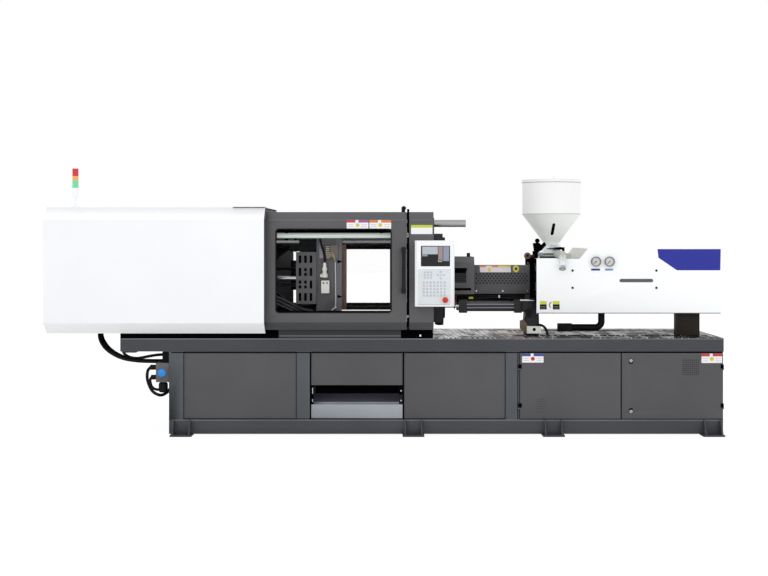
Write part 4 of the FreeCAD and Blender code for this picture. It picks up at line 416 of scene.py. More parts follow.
# A painted reflection: the lighter band along the upper front tie bars.
TIE_REFLECTION = Steel("tie_bar_painted_reflection", srgb(128, 128, 132), "chrome_bar", 0.22, (1, 60, 60), 0.00001)
SAFETY = Steel("safety_bar_steel", srgb(170, 170, 172), "chrome_bar", 0.3, (1, 60, 60), 0.00001)
NUT = Casting("nut_steel", srgb(34, 34, 36), "chrome_bar", 0.5, 0.0002, 0.1)
CYLINDER = Paint("cylinder_paint", srgb(72, 71, 76), "ground_steel", 0.35, gleam=0.4)
CAP = Casting("cylinder_cap", srgb(56, 56, 58), "ground_steel", 0.5, 0.0002, 0.1)
DARK_CAST = Casting("dark_casting", srgb(46, 46, 50), "cast_dark", 0.55, gleam=0.1)
PLATEN = Casting("platen_paint", srgb(96, 95, 99), "cast_dark", 0.55, gleam=0.12)
FLANGE = Casting("platen_flange", srgb(106, 108, 112), "cast_dark", 0.5, 0.0002, 0.12)
FACE = Casting("mould_face", srgb(104, 84, 70), "cast_dark", 0.5, 0.0003, 0.2)
LEG = Casting("carriage_leg", srgb(44, 39, 35), "cast_dark", 0.5, 0.0003, 0.15)
BRASSY = Casting("foot_clamp", srgb(98, 86, 72), "cast_dark", 0.5, 0.0003, 0.2)
# Black steel of the toggle links, darkened further as painted shade inside the guard; on the tie
# bars it is painted shade.
LINK_BLACK_AND_SHADE = Casting("link_steel", srgb(13, 13, 15), "link_steel", 0.45, 0.0002, 0.06)
BLACK = Moulded("black_plastic", srgb(20, 20, 22), "black_plastic", 0.45, gleam=0.1)
RUBBER = Moulded("hose_rubber", srgb(16, 16, 17), "hose_rubber", 0.5, 0.00008, 300, 0.15)
VALVE = Casting("valve_body", srgb(108, 108, 112), "valve_steel", 0.5, 0.0002, 0.2)
CLEAR = Pane("window_sheet", srgb(60, 62, 64), "clear_sheet", 0.02, 0.003)
TUBE = Glow("lamp_tube", srgb(204, 217, 209), "lamp_tube", 0.25, 0.3)
VOID = Moulded("dark_hollow", srgb(6, 6, 7), "black_plastic", 0.9, gleam=0.0)
SEAM = Moulded("seam_shadow", srgb(50, 51, 53), "black_plastic", 0.9, gleam=0.0)
PIERCED = Moulded("pierced_shade", srgb(62, 61, 64), "black_plastic", 0.8, gleam=0.05)
RED = Moulded("signal_red", srgb(214, 48, 60), "signal_plastic", 0.25, 0.00002, 200)
AMBER = Moulded("signal_amber", srgb(246, 174, 100), "signal_plastic", 0.25, 0.00002, 200)
GREEN = Moulded("signal_green", srgb(122, 222, 166), "signal_plastic", 0.25, 0.00002, 200)
STOP = Moulded("stop_red", srgb(196, 46, 38), "stop_red", 0.3, 0.00002)
YELLOW = plain("label_yellow", 208, 196, 70)
PAPER = Moulded("label_white", srgb(240, 240, 242), "panel_case", 0.5, 0.00001)
TINT = Moulded("label_tint", srgb(216, 210, 216), "panel_case", 0.5, 0.00001)
NEEDLE = plain("needle_black", 20, 20, 22, "needle_black")
BLUE = Paint("blue_field", srgb(50, 57, 154), "panel_case", 0.4, drift=0.02, gleam=0.15)
BLUE_CAP = Moulded("blue_cap", srgb(36, 140, 228), "valve_steel", 0.3, 0.00002)
PLUG_WHITE = Moulded("plug_white", srgb(222, 222, 216), "panel_case", 0.45, 0.00002)


class Header(Enum):
    """The colours of the bars along the top of the stickers."""
    RED = srgb(196, 62, 66)
    BLUE = srgb(66, 78, 142)
    ORANGE = srgb(216, 126, 66)
    LIME = srgb(196, 204, 60)
    VIOLET = srgb(160, 92, 150)

    def finish(self) -> Finish:
        """The vinyl of that colour."""
        return Moulded("header_" + self.name.lower(), self.value, "panel_case", 0.5)


# ------------------------------------------------------------------ shapes

def lift(flat: Array, along: float, axis: str) -> Array:
    """Puts flat points (.., 2) at a place along an axis.

    Args:
        flat: (y, z) for axis X, (x, z) for Y or (x, y) for Z.
        along: the coordinate on the axis.
        axis: X, Y or Z.
    Returns:
        Points (.., 3).
    """
    first, second, third = {"X": (1, 2, 0), "Y": (0, 2, 1), "Z": (0, 1, 2)}[axis]
    out = np.empty(flat.shape[:-1] + (3,))
    out[..., first], out[..., second], out[..., third] = flat[..., 0], flat[..., 1], along
    return out


def rounded(left: float, right: float, low: float, high: float, radius: float,
            steps: int = 5) -> Array:
    """A rectangle's outline with quarter-circle corners, anticlockwise.

    Args:
        left, right, low, high: its sides.
        radius: the corner radius.
        steps: segments in a corner.
    Returns:
        Points (4 (steps + 1), 2): centre + radius (cos a, sin a) at each corner.
    """
    turn = np.linspace(0, math.pi / 2, steps + 1)
    centres = np.array([(right - radius, high - radius), (left + radius, high - radius),
                        (left + radius, low + radius), (right - radius, low + radius)])
    angles = turn[None, :] + np.arange(4)[:, None] * math.pi / 2
    ring = np.stack((np.cos(angles), np.sin(angles)), axis=-1) * radius
    return (centres[:, None, :] + ring).reshape(-1, 2)


def circle(x: float, z: float, radius: float, count: int = 24, squash: float = 1.0) -> Array:
    """Points on a circle, or on an oval: centre + radius (cos a, squash x sin a)."""
    a = np.arange(count) * TAU / count
    return np.column_stack((x + radius * np.cos(a), z + radius * squash * np.sin(a)))


def smooth(path: Points, steps: int = 6) -> Array:
    """A Catmull-Rom line through points: each span blends four neighbours by cubic weights."""
    points = np.asarray(path, float)
    if len(points) < 3:
        return points
    ends = np.vstack((2 * points[0] - points[1], points, 2 * points[-1] - points[-2]))
    t = np.linspace(0, 1, steps, endpoint=False)[:, None]
    weights = (-t ** 3 + 2 * t ** 2 - t, 3 * t ** 3 - 5 * t ** 2 + 2,
               -3 * t ** 3 + 4 * t ** 2 + t, t ** 3 - t ** 2)
    spans = [0.5 * sum(w * p for w, p in zip(weights, ends[i:i + 4]))
             for i in range(len(points) - 1)]
    return np.vstack((*spans, points[-1:]))


class Shape:
    """Faces gathered from grids of points, each with the number of its finish."""

    def __init__(self) -> None:
        """Starts with nothing."""
        self.points: list[Array] = []
        self.faces: list[list[int]] = []
        self.marks: list[int] = []
        self.count = 0

    def grid(self, points: Array, mark: int = 0, wrap_u: bool = False, wrap_v: bool = False,
             caps: bool = False) -> "Shape":
        """Joins neighbouring points of a (u, v, 3) grid into quads.

        Args:
            points: the grid.
            mark: the finish's number.
            wrap_u, wrap_v: close the grid that way round.
            caps: fill the first and last row with one face each.
        Returns:
            This shape.
        """
        rows, columns = points.shape[:2]
        index = np.arange(rows * columns).reshape(rows, columns) + self.count
        faces = [index[0, ::-1].tolist(), index[-1].tolist()] if caps else []
        if wrap_u:
            index = np.vstack((index, index[:1]))
        if wrap_v:
            index = np.hstack((index, index[:, :1]))
        quads = np.stack((index[:-1, :-1], index[:-1, 1:], index[1:, 1:], index[1:, :-1]), -1)
        faces += quads.reshape(-1, 4).tolist()
        self.points.append(points.reshape(-1, 3))
        self.faces += faces
        self.marks += [mark] * len(faces)
        self.count += rows * columns
        return self

    def prism(self, outline: Array, axis: str, start: float, end: float, mark: int = 0) -> "Shape":
        """An outline carried straight along an axis, with both ends filled."""
        outline = np.asarray(outline, float)
        rows = np.stack([lift(outline, at, axis) for at in (start, end)])
        return self.grid(rows, mark, wrap_v=True, caps=True)

    def box(self, low: Numbers, high: Numbers, mark: int = 0) -> "Shape":
        """A box between two corners."""
        (a, b, c), (d, e, f) = low, high
        return self.prism([(a, b), (d, b), (d, e), (a, e)], "Z", c, f, mark)

    def plate(self, left: float, right: float, low: float, high: float, face: float,
              thick: float, radius: float = 0.002, mark: int = 0) -> "Shape":
        """A thin plate with round corners that stands out from a face towards -Y."""
        return self.prism(rounded(left, right, low, high, radius), "Y", face - thick, face, mark)

    def frame(self, outer: Array, inner: Array, axis: str, start: float, end: float,
              mark: int = 0) -> "Shape":
        """A plate with a hole: both outlines have the same number of points."""
        rows = [lift(ring, at, axis) for ring, at in ((inner, start), (outer, start),
                                                      (outer, end), (inner, end))]
        return self.grid(np.stack(rows), mark, wrap_u=True, wrap_v=True)

    def lathe(self, profile: Points, centre: Numbers, axis: str,
              count: int = 40, mark: int = 0) -> "Shape":
        """Turns a profile round an axis: point = centre + r (cos a, sin a) + h along it.

        Args:
            profile: (radius, height) pairs from end to end.
            centre: the point that the heights start from.
            axis: X, Y or Z.
            count: segments round.
            mark: the finish's number.
        Returns:
            This shape.
        """
        r, h = np.asarray(profile, float).T
        a = np.arange(count) * TAU / count
        flat = r[:, None, None] * np.stack((np.cos(a), np.sin(a)), -1)[None]
        points = lift(flat, 0, axis)
        points[..., "XYZ".index(axis)] = h[:, None]
        return self.grid(points + np.asarray(centre, float), mark, wrap_v=True)

    def turn(self, profile: Points, centre: Numbers, axis: str,
             count: int = 24, mark: int = 0) -> "Shape":
        """A turned solid: its profile is carried in to the axis at both ends."""
        start, end = (0, profile[0][1]), (0, profile[-1][1])
        return self.lathe([start, *profile, end], centre, axis, count, mark)

    def rod(self, radius: float, start: float, end: float, centre: Numbers, axis: str,
            count: int = 24, mark: int = 0) -> "Shape":
        """A plain round bar between two places along an axis."""
        return self.turn([(radius, start), (radius, end)], centre, axis, count, mark)

    def ring(self, inner: float, outer: float, start: float, end: float,
             centre: Numbers, axis: str, count: int = 40, mark: int = 0) -> "Shape":
        """A plain ring between two radii and two places along an axis."""
        return self.lathe([(inner, start), (outer, start), (outer, end), (inner, end),
                           (inner, start)], centre, axis, count, mark)

    def holes(self, across: Array, up: Array, radius: float, face: float, depth: float = 0.0004,
              count: int = 10, mark: int = 0) -> "Shape":
        """Dark discs for round holes, at every pair of places on a face towards -Y."""
        for x, z in zip(across.ravel(), up.ravel()):
            self.prism(circle(x, z, radius, count), "Y", face - depth, face, mark)
        return self

    def tube(self, path: Points, radius: float, count: int = 12, mark: int = 0) -> "Shape":
        """A circle carried along a smooth line; across = direction x Y, rise = across x it."""
        points = smooth(path)
        ahead = np.gradient(points, axis=0)
        ahead /= np.linalg.norm(ahead, axis=1, keepdims=True)
        across = np.cross(ahead, (0.0, 1.0, 0.0))
        across /= np.linalg.norm(across, axis=1, keepdims=True)
        rise = np.cross(across, ahead)
        a = np.arange(count) * TAU / count
        rings = (points[:, None] + radius * (np.cos(a)[None, :, None] * across[:, None]
                                             + np.sin(a)[None, :, None] * rise[:, None]))
        return self.grid(rings, mark, wrap_v=True, caps=True)

    def screw(self, x: float, face: float, z: float, radius: float, mark: int = 0) -> "Shape":
        """A domed screw head on a face that looks towards -Y."""
        return self.lathe([(radius, 0), (radius, -radius * 0.3), (radius * 0.75, -radius * 0.6),
                           (0, -radius * 0.7)], (x, face, z), "Y", 14, mark)

    def mesh(self, name: str) -> bpy.types.Mesh:
        """The gathered faces as a mesh whose closed shells face outwards."""
        mesh = bpy.data.meshes.new(name)
        mesh.from_pydata(np.vstack(self.points), [], self.faces)
        mesh.polygons.foreach_set("material_index", self.marks)
        work = bmesh.new()
        work.from_mesh(mesh)
        bmesh.ops.remove_doubles(work, verts=work.verts, dist=1e-6)
        bmesh.ops.recalc_face_normals(work, faces=work.faces)
        work.to_mesh(mesh)
        work.free()
        return mesh


# ------------------------------------------------------------------ sub-assemblies

@dataclass
class SubAssembly:
    """A group of pieces that is built and dressed together."""
    made: list[str] = field(default_factory=list)
    rides_on: str = "machine"

    def finish_piece(self, name: str, mesh: bpy.types.Mesh, body: str, finishes: Sequence[Finish],
                     bevel: float, replaces: Sequence[str]) -> None:
        """Links a mesh as a piece, dresses it and hangs it on its body.

        Args:
            name: the piece's name.
            mesh: its mesh, in place.
            body: the body it rides on.
            finishes: one for each mark.
            bevel: the width of its edge rounding, or 0.
            replaces: the nodes it stands for.
        """
        for finish in finishes:
            mesh.materials.append(finish.material())
        piece = put(name, mesh)
        mesh.polygons.foreach_set("use_smooth", [True] * len(mesh.polygons))
        if bevel:
            rounding = piece.modifiers.new("edges", "BEVEL")
            rounding.width = bevel
            rounding.segments = 2
            rounding.limit_method = "ANGLE"
            rounding.angle_limit = CREASE
            rounding.harden_normals = True
        else:
            mesh.set_sharp_from_angle(angle=CREASE)
        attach(piece, body)
        if replaces:
            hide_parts(*replaces)
        self.made.append(name)

    def add(self, name: str, shape: Shape, *finishes: Finish, body: str = "", bevel: float = 0.0,
            replaces: Sequence[str] = ()) -> None:
        """Adds a new piece from a shape, on the group's own body or on the one named."""
        self.finish_piece(name, shape.mesh(name), body or self.rides_on, finishes, bevel, replaces)

    def slab(self, name: str, low: Numbers, high: Numbers, finish: Finish, body: str = "",
             bevel: float = 0.0) -> None:
        """Adds a piece that is one box between two corners."""
        self.add(name, Shape().box(low, high), finish, body=body, bevel=bevel)

    def recast(self, node: str, *finishes: Finish, bevel: float = 0.002,
               region: Region | None = None, reshape: Reshape | None = None) -> None:
        """Stands a copy of a CAD node in its place, merged, with rounded edges.

        Args:
            node: the node's name.
            finishes: one, or one for each number the region gives.
            bevel: the width of its edge rounding, or 0.
            region: from the x, y and z of the faces' centres to their finish numbers.
            reshape: from the points' x, y and z to new ones, for a small change of form.
        """
        source = frame["nodes"][node]
        mesh = bpy.data.meshes.new(node + "_dressed")
        work = bmesh.new()
        work.from_mesh(source.data)
        bmesh.ops.remove_doubles(work, verts=work.verts, dist=1e-5)
        bmesh.ops.dissolve_limit(work, angle_limit=math.radians(0.4), verts=work.verts,
                                 edges=work.edges)
        work.to_mesh(mesh)
        work.free()
        if reshape:
            points = np.empty(len(mesh.vertices) * 3)
            mesh.vertices.foreach_get("co", points)
            moved = np.column_stack(reshape(*points.reshape(-1, 3).T))
            mesh.vertices.foreach_set("co", moved.ravel())
            mesh.update()
        marks = np.zeros(len(mesh.polygons), np.int32)
        if region:
            centres = np.empty(len(mesh.polygons) * 3)
            mesh.polygons.foreach_get("center", centres)
            marks = region(*centres.reshape(-1, 3).T).astype(np.int32)
        mesh.polygons.foreach_set("material_index", marks)
        self.finish_piece(node + "_dressed", mesh, source["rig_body"], finishes, bevel, [node])

    def adopt(self, finish: Finish, *nodes: str) -> None:
        """Gives CAD nodes whose shape is right a finish of their own."""
        for node in nodes:
            piece = frame["nodes"][node]
            piece.data.materials.clear()
            piece.data.materials.append(finish.material())
            self.made.append(node)

    def sticker(self, name: str, body: str, sides: Numbers, face: float,
                headers: Sequence[Header], disc: Finish | None = None) -> None:
        """A white vinyl plate with coloured bars along its top and a plain disc.

        Args:
            name: the piece's name.
            body: the body it rides on.
            sides: left, right, low and high.
            face: the Y of the surface it is stuck to.
            headers: the colours of the bars from left to right.
            disc: the finish of the disc in its middle, if it has one.
        """
        left, right, low, high = sides
        wide, tall = right - left, high - low
        bar = tall * 0.3
        shape = Shape().plate(left, right, low, high, face, FILM, 0.003)
        finishes: list[Finish] = [PAPER]
        step, last = wide / len(headers), len(headers) - 1
        for index, header in enumerate(headers):
            colour = header.finish()
            if colour not in finishes:
                finishes.append(colour)
            start = step * (index + (0.08 if index else 0))
            end = step * (index + (1 if index == last else 0.8))
            shape.plate(left + start, left + end, high - bar, high, face - FILM, INK, 0.001,
                        finishes.index(colour))
        if disc:
            finishes += [disc, TINT]
            middle = (low + high - bar * 0.5) / 2
            shape.prism(circle(left + wide / 2, middle, tall * 0.22), "Y", face - FILM - 0.0003,
                        face - FILM, len(finishes) - 2)
            for start, end in ((0.06, 0.32), (0.68, 0.94)):
                for level in (0.18, 0.42):
                    shape.plate(left + wide * start, left + wide * end, low + tall * level,
                                low + tall * (level + 0.1), face - FILM, INK, 0.001,
                                len(finishes) - 1)
        self.add(name, shape, *finishes, body=body)

    def build(self) -> None:
        """Builds the sub-assembly's pieces."""
        raise NotImplementedError

    def report(self) -> None:
        """Builds, and says what was made."""
        self.build()
        LOG.info("%s: %s", type(self).__name__, ", ".join(self.made))


@dataclass
class Base(SubAssembly):
    """The welded base with its feet, panels, chute and cabinet doors."""
    face: float = -0.48
    posts: Numbers = (0.125, 0.612)
    panels: Numbers = (0.119, 0.606)
    chute: Numbers = (-0.548, 0.123)
    chute_floor: float = 0.2285
    chute_top: float = 0.369
    rails_from: float = 0.9
    rail_foot: float = 0.7165

    def build(self) -> None:
        """Dresses the frame and adds what is fixed to its front."""
        self.recast("base_frame", BEAM, STAND, bevel=0.003,
                    region=lambda x, y, z: (z > self.posts[0]) & (z < self.posts[1]))
        self.recast("machine_feet", BEAM, bevel=0.005)
        self.recast("base_panels", POST, bevel=0.0012)
        # The low rails past the carriage take the deck's painted reflections.
        self.recast("machine_ways", WAY, DECK_REFLECTION, bevel=0.0015,
                    region=lambda x, y, z: x > self.rails_from, reshape=self.low_rails)
        self.adopt(DECK_REFLECTION, "deck_plate")
        slope = Moulded("chute_slope", srgb(96, 97, 114), "bright_sheet", 0.4, gleam=0.1)
        self.recast("product_chute", SHEET, slope, bevel=0.001,
                    region=lambda x, y, z: z > self.chute_floor - 0.001)
        self.chute_trim()
        self.seams()
        self.cabinets()
        self.latches()
        self.adopt(Casting("tank_paint", srgb(92, 96, 98), "cast_dark", 0.5), "power_pack")

    def low_rails(self, x: Array, y: Array, z: Array) -> Sequence[Array]:
        """The carriage rails lie nearly flush: about an eighth of their height is left."""
        flush = self.rail_foot + (z - self.rail_foot) * 0.12
        return x, y, np.where((x > self.rails_from) & (z > self.rail_foot), flush, z)

    def chute_trim(self) -> None:
        """Side strips of the chute's mouth with their screws, and a black sheet behind its top. The
        sheet and the upper right strip are black as a painted shadow under the mouth's top edge;
        the lower right strip is dark as painted shade.
        """
        strips, front, back = Shape(), self.face + 0.004, self.face + 0.007
        (left, right), floor, top = self.chute, self.chute_floor, self.chute_top
        strips.box((left, front, floor), (left + 0.018, back, top))
        # The right strip is black above the tray as painted shadow, and dark below it as painted
        # shade.
        strips.box((right - 0.027, front, 0.300), (right, back, top))
        strips.box((right - 0.027, front, floor), (right, back, 0.300), 2)
        for low, high in ((0.246, 0.267), (0.306, 0.350)):
            strips.plate(-0.540, -0.5345, low, high, front, 0.001, 0.002, 1)
            strips.screw(0.111, front, (low + high) / 2, 0.0075, 1)
        self.add("chute_strips", strips, VOID, CHROME, SHADE_SHEET)
        # A black sheet behind the mouth's top: painted shadow under its top edge.
        self.slab("chute_shadow_sheet", (-0.520, -0.405, 0.300), (0.096, -0.400, 0.368), VOID)

    def seams(self) -> None:
        """Dark joints between the panels and posts, and painted highlights along the beams' edges.
        """
        front, back = self.face - 0.0005, self.face + 0.004
        shape, (low, high) = Shape(), self.panels
        for left, right, under, over, mark in ((-1.573, 2.463, 0.6050, 0.6125, 0),
                                               (-1.482, 0.875, 0.1195, 0.1265, 1),
                                               (0.977, 2.463, 0.1185, 0.1235, 0)):
            shape.box((left, front, under), (right, back, over), mark)
        for left, right, mark in ((-1.4855, -1.4800, 1), (-0.6590, -0.6530, 1),
                                  (-0.5580, -0.5480, 0), (0.1235, 0.1325, 0),
                                  (0.8725, 0.8785, 1), (0.9640, 0.9705, 0)):
            shape.box((left, front, low), (right, back, high), mark)
        self.add("panel_seams", shape, VOID, SEAM)
        # Painted highlights along the top beam's edge and the lower beam's lip.
        edges = Shape().box((-1.944, front, 0.7050), (2.474, self.face, 0.7110))
        edges.box((-1.570, front, 0.1070), (2.463, self.face, 0.1175), 1)
        self.add("beam_edge_highlights", edges, EDGE_HIGHLIGHT, LIP_HIGHLIGHT)

    def cabinets(self) -> None:
        """Cabinet doors with their vents, louvre and stickers."""
        for side in ("left", "right"):
            self.recast(f"cabinet_door_{side}", POST, VOID, bevel=0.0015,
                        region=lambda x, y, z: y < self.face - 0.0012)
        holes = Shape().holes(*np.meshgrid(np.linspace(2.179, 2.290, 9),
                                           np.linspace(0.449, 0.553, 8)), 0.0042, self.face)
        self.add("cabinet_vent", holes, SEAM, body="cabinet_right")
        self.slab("cabinet_edge", (0.9775, self.face - 0.0006, 0.1250),
                  (0.9825, self.face, 0.6040), VOID, "cabinet_left")
        slats = Shape()
        for level in np.linspace(0.186, 0.274, 6):
            slats.prism([(self.face, level - 0.006), (self.face - 0.005, level - 0.004),
                         (self.face, level + 0.004)], "X", 1.111, 1.166)
        self.add("cabinet_louvre", slats, POST, body="cabinet_left")
        for side, across, up, header, disc in (
                ("left", (0.998, 1.155), (0.535, 0.601), Header.BLUE, STOP),
                ("right", (2.313, 2.464), (0.532, 0.601), Header.RED, YELLOW)):
            self.sticker(f"cabinet_label_{side}", f"cabinet_{side}", (*across, *up), self.face,
                         (header, header), disc)

    def latches(self) -> None:
        """The faces of the turning latches, and a plate beside each."""
        self.adopt(BLACK, "door_latch_upper", "door_latch_lower")
        for level, z, low, high in (("upper", 0.549, 0.527, 0.545), ("lower", 0.176, 0.180, 0.200)):
            shape = Shape().lathe([(0.0125, 0), (0.0125, -0.002), (0.0095, -0.0045),
                                   (0.0085, -0.003), (0, -0.003)], (1.796, -0.4862, z), "Y", 28)
            shape.box((1.7945, -0.4900, z - 0.0075), (1.7975, -0.4890, z + 0.0075), 1)
            self.add(f"latch_face_{level}", shape, CHROME, VOID, body=f"latch_{level}")
            plate = Shape().plate(1.783, 1.809, low, high, self.face, 0.0015, 0.006)
            self.add(f"latch_plate_{level}", plate, VOID, body="cabinet_right")


@dataclass
class Clamp(SubAssembly):
    """Platens, tie bars, toggle and ejector behind the guards."""
    rides_on: str = "moving"
    platen_front_y: float = -0.330
    mould_face: float = -0.327
    reflection_band_from: float = 1.400
    nut_from: float = 0.424
    nut_end: float = 0.4425

    def build(self) -> None:
        """Dresses the clamp's castings, bars and links, and adds what the window shows."""
        for node in ("fixed_platen", "tail_platen"):
            self.recast(node, DARK_CAST, bevel=0.003)
        self.recast("moving_platen", PLATEN, FACE, bevel=0.003,
                    region=lambda x, y, z: x > self.mould_face - 0.0015)
        # The tie bars are black as painted shade, with a lighter band along the upper front bars as
        # a painted reflection.
        self.recast("tie_bars", LINK_BLACK_AND_SHADE, TIE_REFLECTION, NUT, bevel=0.0, reshape=self.short_nuts,
                    region=lambda x, y, z: np.where(x > self.nut_from, 2,
                                                    (z > self.reflection_band_from) & (y < 0)))
        links = [f"{link}_link_{level}" for link in ("rear", "front", "cross")
                 for level in ("upper", "lower")]
        for node in (*links, "crosshead"):
            self.recast(node, LINK_BLACK_AND_SHADE, bevel=0.0015)
        self.adopt(LINK_BLACK_AND_SHADE, "clamp_cylinder", "ejector_plate")
        self.recast("platen_guard", DOOR, bevel=0.001)
        self.recast("safety_bar", SAFETY, NUT, region=lambda x, y, z: x > 0.595)
        keeper = Shape().prism([(0.366, 0.852), (0.372, 0.822), (0.366, 0.800), (0.392, 0.793),
                                (0.432, 0.795), (0.434, 0.852)], "Y", -0.262, -0.212)
        self.add("nut_keeper", keeper, NUT, body="machine", bevel=0.003)
        self.slotted_cover()
        self.platen_back()
        self.platen_front()

    def short_nuts(self, x: Array, y: Array, z: Array) -> Sequence[Array]:
        """Ends the tie bar nuts a little sooner than the solids do."""
        return np.where(x > 0.43, self.nut_end, x), y, z

    def slotted_cover(self) -> None:
        """The slotted face of the guard on the moving platen: three columns of four slots."""
        face = self.platen_front_y - 0.015
        shape = Shape().plate(-0.668, -0.517, 0.957, 1.344, face, 0.001, 0.004)
        rows = ((1.262, 1.318), (1.165, 1.225), (1.072, 1.132), (0.980, 1.039))
        for column, x in enumerate((-0.638, -0.5975, -0.5565)):
            for row, (low, high) in enumerate(rows):
                middle = (low + high) / 2
                parts = [(low, high)]
                if (row in (1, 2) and column == 1) or (row == 2 and column == 0):
                    parts = [(low, middle - 0.006), (middle + 0.006, high)]
                for start, end in parts:
                    shape.plate(x - 0.0095, x + 0.0095, start, end, face - 0.001, 0.0004, 0.006, 1)
        self.add("platen_guard_face", shape, GUARD, VOID)

    def platen_back(self) -> None:
        """Rib, guide rod, shield, mould plate and conduits behind the moving platen."""
        self.slab("platen_rib", (-0.742, 0.13, 1.042), (-0.515, 0.16, 1.272), LINK_BLACK_AND_SHADE, bevel=0.004)
        rod = Shape().turn([(0.013, -0.300), (0.0165, -0.296), (0.0165, 0.0)],
                           (-0.515, -0.250, 1.146), "X", 28)
        rod.rod(0.007, -0.300, 0.0, (-0.515, -0.270, 1.087), "X", 20, 1)
        self.add("guide_rod", rod, CHROME, NUT)
        shield = Shape().box((-0.647, -0.305, 1.344), (-0.517, -0.280, 1.440))
        shield.prism([(-0.722, 1.352), (-0.676, 1.344), (-0.640, 1.350), (-0.640, 1.396),
                      (-0.722, 1.396)], "Y", -0.300, -0.285)
        self.add("platen_shield", shield,
                 Casting("shield_black", srgb(26, 28, 28), "cast_dark", 0.6, 0.0002, 0.05),
                 bevel=0.002)
        self.slab("mould_plate", (-0.328, -0.300, 0.905), (-0.297, -0.120, 1.400), FACE,
                  bevel=0.002)
        chain = Shape()
        for drop in (0.0, 0.026, 0.050):
            chain.tube([(-0.850, -0.300, 1.020 - drop), (-0.760, -0.302, 0.982 - drop),
                        (-0.693, -0.304, 0.950 - drop), (-0.618, -0.305, 0.916 - drop),
                        (-0.540, -0.300, 0.900 - drop)], 0.0125, 12)
        self.add("platen_conduits", chain, Moulded(
            "braid_black", srgb(48, 46, 52), "hose_rubber", 0.4, 0.004, 110, 0.5))

    def platen_front(self) -> None:
        """The cover strip on the platen's front side, and what is mounted beside it."""
        y = self.platen_front_y
        trim = Shape().plate(-0.366, -0.3275, 0.824, 1.445, y, 0.0012, 0.002)
        for z in (1.272, 1.012):
            trim.prism([(-0.360, z - 0.013), (-0.326, z - 0.002), (-0.326, z + 0.002),
                        (-0.360, z + 0.013)], "Y", y - 0.004, y - 0.001, 1)
        self.add("platen_strip", trim, FLANGE, VOID)
        self.junction(y)
        self.terminals(y)
        self.wiring(y)

    def junction(self, y: float) -> None:
        """The white junction box and the plug on it."""
        left, right = -0.4795, -0.4200
        box = Shape().plate(left, right, 1.0385, 1.1315, y, 0.034, 0.004)
        for z in (1.060, 1.072):
            box.plate(left, right, z, z + 0.0015, y - 0.034, 0.0004, 0.0003, 1)
        for x in (-0.4630, -0.4365):
            box.screw(x, y - 0.034, 1.1135, 0.0058, 2)
        self.add("junction_box", box, PLUG_WHITE, TINT, NEEDLE)
        plug = Shape().turn([(0.021, 0.0), (0.024, 0.010), (0.024, 0.024), (0.015, 0.034),
                             (0.013, 0.046), (0.018, 0.054), (0.018, 0.068), (0.012, 0.078),
                             (0.012, 0.098), (0.008, 0.110)], (-0.455, y - 0.024, 1.155), "Z", 28)
        plug.box((-0.488, y - 0.034, 1.158), (-0.464, y - 0.004, 1.178))
        self.add("platen_plug", plug, PLUG_WHITE)

    def terminals(self, y: float) -> None:
        """A rail of terminals between two plain covers."""
        rail = Shape().box((-0.442, y - 0.012, 1.292), (-0.412, y, 1.394), 1)
        for z in np.linspace(1.300, 1.384, 7):
            rail.plate(-0.446, -0.418, z - 0.004, z + 0.004, y - 0.012, 0.008, 0.001)
        rail.plate(-0.414, -0.356, 1.300, 1.394, y, 0.016, 0.003, 2)
        rail.plate(-0.494, -0.467, 1.298, 1.412, y, 0.008, 0.002, 3)
        self.add("terminal_rail", rail, plain("terminal_beige", 166, 160, 138), NUT,
                 plain("terminal_shade", 110, 98, 98), plain("terminal_haze", 138, 136, 146))

    def wiring(self, y: float) -> None:
        """The black lead to the plug, three thin wires and the grey lead down the side."""
        wires = Shape()
        wires.tube([(-0.489, y - 0.012, 1.440), (-0.478, y - 0.018, 1.396),
                    (-0.463, y - 0.020, 1.344), (-0.452, y - 0.022, 1.299),
                    (-0.456, y - 0.024, 1.255)], 0.0085)
        for lean in (0.0, 0.010, 0.020):
            wires.tube([(-0.420, y - 0.012, 1.330 - lean), (-0.398, y - 0.022, 1.340 - lean),
                        (-0.382, y - 0.018, 1.310 - lean), (-0.376, y - 0.007, 1.262)], 0.003,
                       8, 1)
        wires.tube([(-0.376, y - 0.007, 1.270), (-0.374, y - 0.006, 1.120),
                    (-0.374, y - 0.006, 0.960), (-0.384, y - 0.006, 0.926),
                    (-0.404, y - 0.006, 0.910)], 0.0045, 10, 2)
        wires.lathe([(0, -0.009), (0.008, -0.006), (0.010, 0.0), (0.008, 0.006), (0, 0.009)],
                    (-0.374, y - 0.010, 0.930), "Z", 16, 2)
        self.add("platen_wiring", wires, RUBBER, plain("wire_straw", 150, 146, 112),
                 plain("wire_grey", 196, 194, 196, "panel_case", 0.45))


